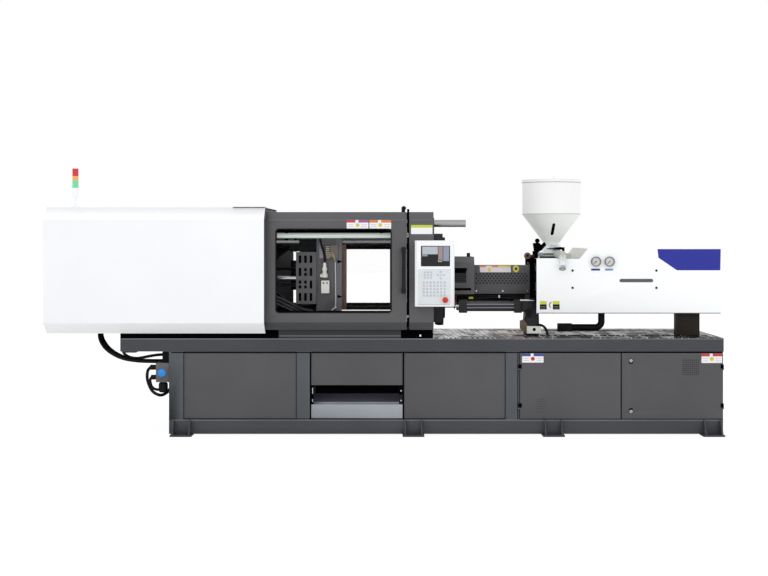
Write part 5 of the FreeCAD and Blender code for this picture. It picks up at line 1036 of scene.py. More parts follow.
@dataclass
class Guards(SubAssembly):
    """The white clamp guard, the sliding doors, their rails and the work lamp."""
    door_face: float = -0.54
    window: Numbers = (-0.801, 0.038, 0.905, 1.513)
    rear_window: Numbers = (-0.752, 0.038, 0.905, 1.370)
    corner: float = 0.022
    low_fold: float = 0.833
    fold_face: float = -0.5045

    def build(self) -> None:
        """Dresses the guards and adds gaskets, handles, seals and stickers."""
        low, out = self.low_fold, self.door_face
        # The guard's low fold and top slope take the lighter white as painted light.
        self.recast("clamp_guard", WHITE, WHITE_PAINTED_LIGHT, bevel=0.004,
                    region=lambda x, y, z: (z < 0.838) | (z > 1.585))
        # The frame's low rails under the guard are painted black as shade.
        self.recast("guard_frame", BEAM, VOID,
                    region=lambda x, y, z: (z < 0.780) & (np.abs(y) > 0.4385))
        self.slab("lamp_housing", (-0.806, -0.446, 1.4870), (0.044, -0.418, 1.5300), VOID)
        # The door's low fold takes the darker door paint as painted shade.
        self.recast("front_door", DOOR, BLACK, DOOR_FOLD_SHADE, bevel=0.003,
                    region=lambda x, y, z: np.where((y < out - 0.0005) | (z > 1.6385), 1,
                                                    2 * ((z < low) & (y < self.fold_face))))
        # The rear door's inner faces take the dark sheet as painted shade.
        self.recast("rear_door", DOOR, BLACK, SHADE_SHEET, bevel=0.003,
                    region=lambda x, y, z: np.where(y > -out + 0.0005, 1, 2 * (y < 0.520)))
        # The end guards' low folds take the darker door paint as painted shade.
        self.recast("end_guards", DOOR, DOOR_FOLD_SHADE, bevel=0.003,
                    region=lambda x, y, z: (z < low) & (np.abs(y) > -self.fold_face))
        self.adopt(CLEAR, "front_window", "rear_window")
        self.gaskets()
        self.recast("work_lamp", TUBE, VOID, bevel=0.0, region=lambda x, y, z: z > 1.486)
        self.white_trim()
        self.handle()
        self.door_trim()
        for name, body, sides, headers, disc in (
                ("door_label_left", "front_door", (-0.286, -0.127, 1.516, 1.579),
                 (Header.RED, Header.VIOLET), YELLOW),
                ("door_label_right", "front_door", (-0.120, 0.038, 1.516, 1.579),
                 (Header.ORANGE, Header.ORANGE), YELLOW),
                ("end_guard_label", "machine", (0.183, 0.339, 1.477, 1.543),
                 (Header.LIME,), None)):
            self.sticker(name, body, sides, out, headers, disc)

    def handle(self) -> None:
        """The door's handle and the knob above it."""
        grip = Shape()
        for low, high in ((1.046, 1.084), (1.345, 1.383)):
            grip.prism(rounded(0.112, 0.144, low, high, 0.009), "Y", -0.5975, self.door_face)
        grip.prism(rounded(0.1155, 0.1405, 1.060, 1.370, 0.006), "Y", -0.5970, -0.5760)
        self.add("handle_grip", grip, NUT, body="front_door", bevel=0.002)
        knob = Shape().lathe([(0, 0.0165), (0.008, 0.0145), (0.0145, 0.0085), (0.0168, 0.0),
                              (0.0145, -0.0085), (0.0095, -0.0135), (0.0075, -0.0160),
                              (0.0075, -0.030), (0, -0.030)], (0.132, -0.465, 1.667), "Z", 28)
        self.add("door_knob", knob, BLACK, body="front_door")

    def door_trim(self) -> None:
        """Painted highlights along the folds, the sill, the dark joint beside the door and the
        lines of its rail, one of them a painted highlight.
        """
        face = self.door_face
        for name, body, left, right in (("door_fold_highlights", "front_door", -0.866, 0.149),
                                        ("end_guard_fold_highlights", "machine", 0.172, 0.346)):
            # A lighter strip along the top fold, as a painted highlight.
            self.slab(name, (left, face - 0.0004, 1.5785), (right, face + 0.001, 1.5815), FOLD_HIGHLIGHT,
                      body)
        sill = Shape().box((-0.322, face + 0.0005, 0.9185), (0.034, face + 0.003, 0.9260))
        sill.box((-0.780, face + 0.0005, 0.9020), (0.034, face + 0.003, 0.9185), 1)
        self.add("window_sill", sill, PLUG_WHITE, VOID, body="front_door")
        joint = Shape().box((0.1545, -0.505, 0.800), (0.1710, -0.495, 1.660))
        for low, high in ((1.452, 1.486), (0.866, 0.884)):
            joint.plate(0.1550, 0.1655, low, high, -0.505, 0.001, 0.002, 1)
        self.add("door_joint", joint, VOID, PAPER)
        rail = Shape().box((-0.786, -0.4806, 0.7500), (0.110, -0.4720, 0.7765))
        rail.box((-0.786, -0.4804, 0.7130), (0.110, -0.4800, 0.7500))
        # The lighter line along the rail is a painted highlight.
        rail.box((-0.780, -0.4808, 0.7265), (0.108, -0.4804, 0.7350), 1)
        rail.box((0.246, -0.4808, 0.7260), (0.258, -0.4804, 0.7400), 2)
        self.add("rail_line", rail, Paint("rail_paint", srgb(58, 58, 60), "frame_grey", 0.5,
                                          gleam=0.15), LIP_HIGHLIGHT, PAPER)

    def gaskets(self) -> None:
        """Rubber channels round both windows."""
        for side, body, opening in ((1, "front_door", self.window),
                                    (-1, "rear_door", self.rear_window)):
            left, right, low, high = opening
            face = side * self.door_face
            outer = rounded(left - 0.004, right + 0.004, low - 0.004, high + 0.004,
                            self.corner + 0.004)
            inner = rounded(left + 0.004, right - 0.004, low + 0.004, high - 0.004,
                            self.corner - 0.004)
            shape = Shape().frame(outer, inner, "Y", face - side * 0.0025, face + side * 0.0028)
            self.add(f"{body}_gasket", shape, RUBBER, body=body)

    def white_trim(self) -> None:
        """The dark seal down the clamp guard's open edge."""
        seal = Shape().prism([(-0.6000, 0.850), (-0.6095, 0.850), (-0.6095, 1.583),
                              (-0.501, 1.6705), (-0.494, 1.665), (-0.6000, 1.578)],
                             "X", -0.8825, -0.8690)
        seal.box((-1.118, -0.5045, 1.6715), (-0.8825, -0.500, 1.6755))
        self.add("clamp_guard_seal", seal, plain("violet_seal", 56, 47, 74, "black_plastic"))


@dataclass
class SignalTower(SubAssembly):
    """The three-colour lamp on the clamp guard."""
    centre: Numbers = (-2.306, -0.35)
    low: float = 1.819
    heights: Numbers = (0.057, 0.031, 0.056)
    groove: float = 0.0222
    ridge: float = 0.0230
    steps: int = 13

    def build(self) -> None:
        """Turns the lens rings and dresses the base."""
        self.recast("signal_base", WHITE, bevel=0.0015)
        shape = Shape()
        z = self.low
        for index, height in enumerate(self.heights):
            ribs = np.linspace(0, height, self.steps)
            radius = np.where(np.arange(self.steps) % 2, self.ridge, self.groove)
            shape.turn(list(zip(radius, ribs)), (*self.centre, z), "Z", 32, index)
            z += height
        shape.turn([(0.024, 0), (0.024, 0.004), (0.020, 0.006)], (*self.centre, z), "Z", 32, 3)
        self.add("signal_lens_stack", shape, GREEN, AMBER, RED, WHITE, replaces=["signal_lenses"])


@dataclass
class OperatorPanel(SubAssembly):
    """The operator's box with its screen, keys and stop button."""
    face: float = -0.625
    glass_face: float = -0.6232
    keys: Numbers = (0.231, 0.468, 0.975, 1.225)
    stop_at: Numbers = (0.428, 1.001)

    def build(self) -> None:
        """Dresses the box and fills its front."""
        self.recast("control_box", PANEL)
        self.screen()
        self.keypad()
        self.stop()

    def screen(self) -> None:
        """The lit screen with its fields, inside a black bezel."""
        face = self.glass_face
        glass = Moulded("screen_black", srgb(14, 14, 18), "screen_glass", 0.12, 0.0, 200)
        pale = Glow("screen_pale", srgb(162, 170, 176), "screen_glass", 0.2, 0.3)
        grey = Glow("screen_grey", srgb(128, 134, 152), "screen_glass", 0.2, 0.3)
        rose = Glow("screen_rose", srgb(142, 122, 124), "screen_glass", 0.2, 0.3)
        shape = Shape().plate(0.2535, 0.4615, 1.2445, 1.3905, face + 0.004, 0.0042)
        for sides, mark in (((0.262, 0.374, 1.331, 1.386), 1), ((0.378, 0.410, 1.282, 1.388), 3),
                            ((0.414, 0.456, 1.282, 1.388), 2), ((0.262, 0.300, 1.316, 1.329), 2),
                            ((0.376, 0.404, 1.276, 1.292), 1)):
            shape.plate(*sides, face - INK, INK, 0.001, mark)
        self.add("screen_face", shape, glass, pale, grey, rose, replaces=["control_screen"])

    def keypad(self) -> None:
        """A membrane field with rows of keys and an arrow diamond."""
        left, right, low, high = self.keys
        field_paint = plain("keypad_film", 219, 225, 228, "panel_case", 0.45)
        key = plain("key_grey", 190, 196, 204)
        rose = plain("key_rose", 232, 196, 192)
        shape = Shape().plate(left, right, low, high, self.face, 0.0008, 0.006)
        places = [(x, z, 0.0065) for x in (0.280, 0.303, 0.326) for z in (1.162, 1.181, 1.200)]
        places += [(x, z, 0.0075) for x in np.linspace(0.273, 0.423, 7)
                   for z in np.linspace(1.033, 1.127, 5)]
        places += [(0.395, 1.204, 0.007), (0.395, 1.158, 0.007), (0.374, 1.181, 0.007),
                   (0.417, 1.181, 0.007), (0.395, 1.181, 0.006)]
        for index, (x, z, half) in enumerate(places):
            mark = 3 if index in (17, 29) else 2
            shape.plate(x - half, x + half, z - half, z + half, self.face - 0.0008, 0.0012,
                        0.002, mark)
        shape.plate(left + 0.004, right - 0.004, low - 0.008, low - 0.003, self.face, 0.0006,
                    0.001, 4)
        self.add("keypad", shape, field_paint, field_paint, key, rose,
                 plain("case_line", 176, 182, 184))

    def stop(self) -> None:
        """The mushroom button with its collar."""
        x, z = self.stop_at
        cap = Shape().lathe([(0, -0.0290), (0.008, -0.0288), (0.015, -0.0268), (0.0195, -0.0215),
                             (0.0200, -0.0150), (0.0190, -0.0105), (0.0100, -0.0090),
                             (0.0100, 0.0190), (0, 0.0190)], (x, self.face, z), "Y", 40)
        self.add("stop_cap", cap, STOP, body="stop_button", replaces=["stop_button"])
        collar = Shape().lathe([(0.0115, 0.0), (0.024, 0.0), (0.024, -0.002), (0.0115, -0.003),
                                (0.0115, 0.0)], (x, self.face, z), "Y", 40)
        self.add("stop_collar", collar, plain("collar_rose", 240, 190, 176, "panel_case", 0.45))


@dataclass
class Injection(SubAssembly):
    """The carriage: castings, barrel cover, housing, hopper, gauges and purge guard."""
    rides_on: str = "carriage"
    housing_face: float = -0.39
    cover_face: float = -0.112
    slope_foot: Numbers = (-0.112, 1.185)
    slope_head: Numbers = (-0.078, 1.239)
    slope_out: Numbers = (-0.847, 0.532)
    cylinder_y: float = 0.172
    cylinder_z: float = 0.933
    gauges_x: Numbers = (1.552, 1.652)
    gauges_z: float = 1.274
    hopper_x: float = 1.273
    funnel_foot: Numbers = (0.046, 1.393)
    funnel_head: Numbers = (0.222, 1.631)

    def build(self) -> None:
        """Dresses the carriage from the barrel to the hopper."""
        self.recast("injection_frame", DARK_CAST, LEG, bevel=0.003,
                    region=lambda x, y, z: x > 2.1, reshape=self.slim_legs)
        self.adopt(CHROME, "pull_rods")
        self.recast("pull_cylinders", CYLINDER)
        self.cylinder_trim()
        self.recast("carriage_conduit", RUBBER)
        self.adopt(GROUND, "barrel", "injection_screw")
        self.recast("screw_drive", DARK_CAST)
        self.recast("barrel_cover", DOOR)
        self.recast("purge_guard", DOOR, BLACK, region=lambda x, y, z: z > 1.306)
        self.purge_front()
        # Most of the housing takes the lighter white as painted light.
        self.recast("injection_housing", WHITE_PAINTED_LIGHT, STEP, VOID, bevel=0.003,
                    region=lambda x, y, z: np.where(
                        x < 1.1155, 2, (x > 1.430) & (x < 1.496) & (z > 1.298) & (z < 1.368)
                        & (np.abs(y) < 0.386)))
        self.housing_front()
        self.cover_front()
        self.cables()
        self.riser()
        self.lead()
        self.feet()
        self.gauges()
        self.hopper()

    def slim_legs(self, x: Array, y: Array, z: Array) -> Sequence[Array]:
        """Front legs narrowed towards the housing, each side by its own straight line in X."""
        near, far = 1.044 + (x - 1.0) * 0.9227, 1.098 + (x - 1.0) * 0.4318
        narrow = np.where(x < 1.115, np.where(y < 0, near, far), x)
        return narrow, y, np.where(z < 0.7455, 0.7200, z)

    def wide_handle(self, x: Array, y: Array, z: Array) -> Sequence[Array]:
        """The gate lever's handle, a quarter wider and further right and up than the solid's."""
        handle = y < -0.0755
        return (np.where(handle, 1.298 + (x - 1.274) * 1.25, x), y,
                np.where(handle, z + 0.004, z))

    def cylinder_trim(self) -> None:
        """Square end caps and tie rods of the pull-in cylinders."""
        caps, z = Shape(), self.cylinder_z
        for side in (-1, 1):
            y = side * self.cylinder_y
            for start, end in ((0.553, 0.612), (0.970, 1.0246)):
                caps.prism(rounded(y - 0.050, y + 0.050, z - 0.050, z + 0.050, 0.012), "X",
                           start, end)
            for level in (-0.011, 0.014):
                caps.rod(0.0065, 0.0, 0.36, (0.607, side * 0.2205, z + level), "X", 14, 1)
        self.add("cylinder_caps", caps, CAP,
                 Steel("rod_violet", srgb(136, 133, 146), "ground_steel", 0.35, (1, 60, 60)),
                 bevel=0.002)
        pipe = Shape().tube([(1.0046, -0.270, 0.981), (1.1135, -0.270, 0.981)], 0.008, 16)
        self.add("cylinder_pipe", pipe, CHROME)
        block = Shape().box((1.0246, -0.262, 0.892), (1.110, -0.190, 0.9745))
        block.box((1.040, -0.268, 0.905), (1.064, -0.262, 0.960))
        for x, z, radius in ((1.088, 0.945, 0.012), (1.086, 0.912, 0.010)):
            block.turn([(radius, -radius), (radius + 0.002, 0.004 - radius),
                        (radius + 0.002, 0.0)], (x, -0.262, z), "Y", 18)
        self.add("cylinder_valve", block,
                 Casting("valve_green_black", srgb(30, 36, 34), "cast_dark", 0.45, 0.0004, 0.3),
                 bevel=0.0015)

    def purge_front(self) -> None:
        """The pierced screen behind the purge guard's window, its slot and a painted highlight
        along its fold.
        """
        face = -0.190
        screen = Shape().box((0.504, face + 0.003, 1.104), (0.612, face + 0.005, 1.206))
        screen.box((0.504, face + 0.0015, 1.182), (0.612, face + 0.003, 1.202), 1)
        screen.holes(*np.meshgrid(np.arange(0.516, 0.606, 0.014), np.arange(1.114, 1.180, 0.014)),
                     0.0042, face + 0.003, 0.0008, 8, 1)
        screen.plate(0.508, 0.644, 1.0515, 1.070, face, FILM, 0.002, 1)
        screen.plate(0.508, 0.612, 1.198, 1.221, face, FILM, 0.002, 1)
        # The lighter strip along the fold is a painted highlight.
        screen.plate(0.490, 0.664, 1.2655, 1.2685, face, 0.0005, 0.0005, 2)
        self.add("purge_screen", screen, PIERCED, VOID, FOLD_HIGHLIGHT, body="purge_guard")

    def cables(self) -> None:
        """The cable bundle under the barrel cover, with its clips."""
        loom = Shape()
        for y, z, lean in ((-0.088, 1.0065, 0.004), (-0.060, 1.0020, -0.003),
                           (-0.104, 0.9890, 0.003)):
            top = z - 0.007
            loom.tube([(0.520, y, top - 0.012), (0.640, y, top - 0.004 + lean),
                       (0.740, y, z), (0.860, y, z + lean), (0.980, y, z - lean),
                       (1.098, y, z)], 0.0115, 12)
        loom.box((0.500, -0.080, 0.966), (1.098, -0.050, 1.0225))
        loom.box((0.630, -0.126, 0.984), (0.664, -0.100, 0.9995), 1)
        loom.box((0.856, -0.119, 0.992), (0.868, -0.100, 1.012), 2)
        loom.tube([(0.532, -0.110, 1.012), (0.530, -0.150, 1.000), (0.526, -0.188, 0.975),
                   (0.520, -0.196, 0.945), (0.516, -0.196, 0.915)], 0.0055, 8, 3)
        self.add("cover_loom", loom, RUBBER, YELLOW, PLUG_WHITE,
                 plain("wire_red", 112, 26, 36, "hose_rubber"))

    def riser(self) -> None:
        """The riser by the hopper with its bent bracket and sensor."""
        riser = Shape().box((1.078, -0.300, 1.000), (1.1138, -0.262, 1.300))
        riser.box((1.104, -0.262, 1.285), (1.140, -0.215, 1.350))
        riser.prism([(1.1078, 1.406), (1.1154, 1.353), (1.1327, 1.3345), (1.1703, 1.3548),
                     (1.2057, 1.3947), (1.1922, 1.4173), (1.1681, 1.3925), (1.1568, 1.4098),
                     (1.1191, 1.4113)], "Y", -0.245, -0.195)
        riser.lathe([(0, -0.040), (0.009, -0.040), (0.009, -0.014), (0.0155, -0.009),
                     (0.0185, 0.0), (0.0165, 0.010), (0.009, 0.0175), (0, 0.019)],
                    (1.140, -0.220, 1.4256), "Z", 24)
        riser.turn([(0.0165, 0), (0.0165, 0.010), (0.013, 0.012), (0.013, 0.044)],
                   (1.138, -0.235, 1.325), "X", 24, 1)
        self.add("sensor_riser", riser, VOID, GROUND, bevel=0.002)

    def lead(self) -> None:
        """The coiled lead on its spool at the riser."""
        centre = (1.059, -0.282, 1.3145)
        turns = Shape().lathe([(0.0170 + 0.0090 * math.cos(a), 0.012 * math.sin(a))
                               for a in np.linspace(0, TAU, 15)], centre, "Y", 28)
        turns.lathe([(0, -0.008), (0.0140, -0.006), (0.0140, 0.010), (0, 0.010)], centre, "Y",
                    20, 1)
        turns.box((1.070, -0.286, 1.300), (1.112, -0.272, 1.322), 1)
        self.add("thermocouple_ring", turns,
                 plain("lead_copper", 104, 72, 58, "hose_rubber", 0.45), BLACK)

    def feet(self) -> None:
        """Clamp blocks, plate and formed pipe at the carriage's front foot."""
        block = Shape().prism([(1.002, 0.771), (1.034, 0.742), (1.062, 0.738), (1.058, 0.798),
                               (1.031, 0.839), (1.002, 0.830)], "Y", -0.300, -0.272)
        block.prism([(1.022, 0.800), (1.062, 0.780), (1.085, 0.800), (1.085, 0.910),
                     (1.044, 0.910), (1.044, 0.868)], "Y", -0.285, -0.262, 3)
        block.box((1.0506, -0.330, 0.7370), (1.1560, -0.290, 0.790), 1)
        block.prism(circle(1.104, 0.767, 0.0125, 16), "Y", -0.3308, -0.3300, 2)
        block.tube([(1.130, -0.300, 0.8016), (1.166, -0.300, 0.7942), (1.192, -0.300, 0.7718),
                    (1.205, -0.300, 0.738), (1.206, -0.300, 0.7195)], 0.0095, 14, 3)
        self.add("foot_clamps", block, BRASSY, PLUG_WHITE, VOID, BLACK, bevel=0.0015)

    def housing_front(self) -> None:
        """The blue field, rims, plates, screws and grease labels on the housing."""
        face = self.housing_face
        outline = [(2.009, 1.366), (2.016, 1.302), (2.153, 1.209), (2.474, 1.209),
                   (2.477, 1.366)]
        self.add("housing_field", Shape().prism(outline, "Y", face - FILM, face), BLUE)
        outer = rounded(1.728, 1.977, 1.120, 1.146, 0.0125)
        inner = rounded(1.732, 1.973, 1.124, 1.142, 0.0088)
        rim = Shape().frame(outer, inner, "Y", face - 0.0012, face + 0.001)
        rim.plate(1.731, 1.974, 1.123, 1.143, face + 0.0035, 0.0005, 0.004, 1)
        self.add("housing_vent", rim,
                 plain("vent_grey", 120, 122, 126, "black_plastic"),
                 plain("vent_shade", 92, 93, 96, "black_plastic", 0.6))
        plates = Shape().plate(1.518, 1.584, 1.207, 1.221, face, 0.0008)
        plates.plate(1.621, 1.680, 1.207, 1.221, face, 0.0008, mark=1)
        self.add("gauge_plates", plates, BLUE,
                 plain("plate_light_blue", 104, 146, 200, "panel_case", 0.45))
        screws = Shape()
        for x in (1.381, 2.001):
            for z in (1.079, 1.207):
                screws.screw(x, face, z, 0.0085)
        self.add("housing_screws", screws, BLACK)
        self.grease_labels()
        self.slab("housing_hem", (1.118, face - 0.0004, 0.8895), (2.476, face + 0.001, 0.8945),
                  SEAM)

    def grease_labels(self) -> None:
        """Two small labels without words and the bent line between them."""
        face, labels = self.housing_face, Shape()
        for left in (1.139, 1.235):
            labels.plate(left, left + 0.050, 0.919, 0.981, face, FILM, 0.003)
            labels.plate(left, left + 0.050, 0.957, 0.981, face - FILM, INK, 0.002, 1)
            for low in (0.927, 0.939):
                labels.plate(left + 0.008, left + 0.042, low, low + 0.004, face - FILM, INK,
                             0.001, 2)
        labels.tube([(1.223, face - 0.001, 0.974), (1.213, face - 0.001, 0.962),
                     (1.210, face - 0.001, 0.947), (1.219, face - 0.001, 0.933)], 0.0028, 8)
        self.add("grease_labels", labels, BLACK, Header.LIME.finish(),
                 plain("label_grey", 120, 118, 122))

    def cover_front(self) -> None:
        """Holes, screws and stickers on the barrel cover."""
        face = self.cover_face
        pitch = 0.0265
        x, row = np.meshgrid(0.690 + pitch * np.arange(15), np.arange(5))
        holes = Shape().holes(x + pitch / 2 * (row % 2), 1.174 - 0.0175 * row, 0.0072, face)
        self.add("cover_holes", holes, SEAM)
        self.cover_labels()
        screws = Shape()
        for x_at in (0.688, 0.890, 1.083):
            screws.screw(x_at, face, 1.044, 0.008)
        self.add("cover_screws", screws, CHROME)

    def cover_labels(self) -> None:
        """Labels on the cover's sloping top edge: each lies between two lines on the slope."""
        lower, upper = np.array(self.slope_foot), np.array(self.slope_head)
        shape, out = Shape(), np.array(self.slope_out)
        for left, right, start, end, lift_by, mark in (
                (0.717, 0.952, 0.03, 0.95, 0.0005, 0), (0.719, 0.765, 0.72, 0.97, 0.0009, 1),
                (0.806, 0.858, 0.72, 0.97, 0.0009, 1), (0.862, 0.950, 0.72, 0.97, 0.0009, 2),
                (0.778, 0.800, 0.10, 0.62, 0.0009, 2)):
            a, b = lower + (upper - lower) * start, lower + (upper - lower) * end
            shape.prism([a, a + out * lift_by, b + out * lift_by, b], "X", left, right, mark)
        turn = np.linspace(0, TAU, 20, endpoint=False)
        for radius, lift_by, mark in ((0.024, 0.0007, 2), (0.010, 0.0010, 3)):
            ring = lower + (upper - lower) * (0.5 + 20 * radius * np.sin(turn)[:, None])
            disc = np.column_stack((0.992 + radius * np.cos(turn), ring))
            top = disc + np.array((0, *(out * lift_by)))
            shape.grid(np.stack((disc, top)), mark, wrap_v=True, caps=True)
        self.add("cover_labels", shape, TINT, Header.ORANGE.finish(), YELLOW, NEEDLE)

    def gauges(self) -> None:
        """Bezel, dial, ticks and glass of the two pressure gauges."""
        shape, face, z = Shape(), self.housing_face, self.gauges_z
        for x in self.gauges_x:
            centre = (x, face, z)
            shape.lathe([(0.030, 0.0), (0.0355, 0.0), (0.0355, -0.019), (0.037, -0.021),
                         (0.037, -0.0245), (0.034, -0.0255), (0.0315, -0.0245),
                         (0.0315, -0.0165), (0.030, -0.0160), (0.030, 0.0)], centre, "Y", 48)
            shape.rod(0.0316, -0.0166, -0.0158, centre, "Y", 48, 1)
            for angle in np.radians(np.linspace(-135, 135, 19)):
                out = np.array((math.sin(angle), math.cos(angle)))
                width = np.array((out[1], -out[0])) * 0.0006
                near, far = ((x, z) + out * reach for reach in (0.0235, 0.0295))
                shape.prism([near - width, near + width, far + width, far - width], "Y",
                            face - 0.0169, face - 0.0166, 2)
            shape.rod(0.0315, -0.0236, -0.0228, centre, "Y", 40, 3)
        self.add("gauge_cases", shape,
                 Steel("gauge_bezel", srgb(112, 112, 114), "chrome_bar", 0.25),
                 plain("gauge_dial", 222, 222, 222), NEEDLE, CLEAR, replaces=["pressure_gauges"])
        self.adopt(NEEDLE, "needle_system", "needle_back")

    def hopper(self) -> None:
        """The hopper with its lid, base plate, gate and drain."""
        self.adopt(HOPPER, "hopper")
        self.recast("hopper_lid", HOPPER, bevel=0.0015)
        self.recast("hopper_base", WHITE, STEEL_BAND, bevel=0.0015,
                    region=lambda x, y, z: ((z < 1.331) & (z > 1.2945))
                    | ((y < -0.107) & (z > 1.297)))
        self.recast("gate_lever", PLUG_WHITE, VOID, bevel=0.001,
                    region=lambda x, y, z: y < -0.0745, reshape=self.wide_handle)
        self.base_stripes()
        self.hopper_skin()
        self.sight_slot()

    def base_stripes(self) -> None:
        """Dark gaps and a bolt at the hopper's base, a painted shadow line along the housing's top
        edge, and the mouth of its drain.
        """
        base = Shape().box((1.1965, -0.1115, 1.3215), (1.280, -0.1098, 1.3300))
        base.box((1.1705, -0.1115, 1.2955), (1.303, -0.1098, 1.3070))
        base.box((1.345, -0.092, 1.338), (1.363, -0.075, 1.3620))
        # A painted shadow line along the housing's top edge.
        base.box((1.300, -0.3895, 1.2945), (1.430, -0.3850, 1.2995), 1)
        base.prism(circle(1.298, 1.2205, 0.025, 28, 0.5), "Y", -0.4530, -0.4500, 2)
        base.prism(circle(1.298, 1.2200, 0.016, 28, 0.4375), "Y", -0.4535, -0.4530, 3)
        self.add("base_stripes", base, VOID,
                 plain("housing_edge_shadow", 146, 148, 144, "white_paint"),
                 plain("spout_rim", 112, 116, 114, "white_paint"),
                 plain("spout_inside", 160, 164, 162, "white_paint"))

    def hopper_skin(self) -> None:
        """Sheet skins of the hopper's body, lid rim and cone, with a seam over and under; the
        cone's slightly darker white is painted shade.
        """
        centre, foot, top = (self.hopper_x, 0, 0), 1.402, 1.6300
        skin = Shape().ring(0.2221, 0.2227, 1.6325, 1.8725, centre, "Z", 128)
        skin.ring(0.2262, 0.2268, 1.8735, 1.8885, centre, "Z", 128)
        skin.ring(0.2229, 0.2238, 1.6285, 1.6325, centre, "Z", 128, 2)
        skin.ring(0.2229, 0.2236, 1.868, 1.8735, centre, "Z", 128, 2)
        rim = self.funnel_radius(foot)
        skin.lathe([(rim, foot), (rim + 0.0008, foot), (0.2229, top), (0.2221, top), (rim, foot)],
                   centre, "Z", 128, 1)
        self.add("hopper_skin", skin, HOPPER, CONE_SHADE,
                 plain("hopper_seam", 176, 178, 176, "white_paint"))

    def sight_slot(self) -> None:
        """The slanted slot in the cone: two sheets bent to its surface, a rim and a dark one."""
        x, middle, glass = self.hopper_x, 1.5135, Shape()
        for half, out, lift_by, mark in ((0.0165, 0.010, 0.0014, 0), (0.0115, 0.002, 0.0022, 1)):
            t = np.sin(np.linspace(-math.pi / 2, math.pi / 2, 17))[:, None]
            v = middle + t * (0.0430 + out)
            narrow = np.sqrt(1 - 0.96 * np.clip((np.abs(t) - 0.75) / 0.25, 0, 1) ** 2)
            u = np.linspace(-half, half, 5)[None, :] * narrow
            across = x - 0.0045 + (v - middle) * 0.09 + u
            for sheet in (0.0, 1.0):
                radius = self.funnel_radius(v) + lift_by * sheet
                y = -np.sqrt(radius ** 2 - (across - x) ** 2)
                rows = np.stack((across, y, np.broadcast_to(v, y.shape)), -1)
                glass.grid(rows if sheet else rows[:, ::-1], mark)
        self.add("sight_slot", glass, HOPPER, VOID)

    def funnel_radius(self, z: "Array | float") -> "Array | float":
        """Radius of the hopper's cone at a height: it grows evenly from foot to head."""
        (thin, low), (thick, high) = self.funnel_foot, self.funnel_head
        return thin + (thick - thin) * (z - low) / (high - low)


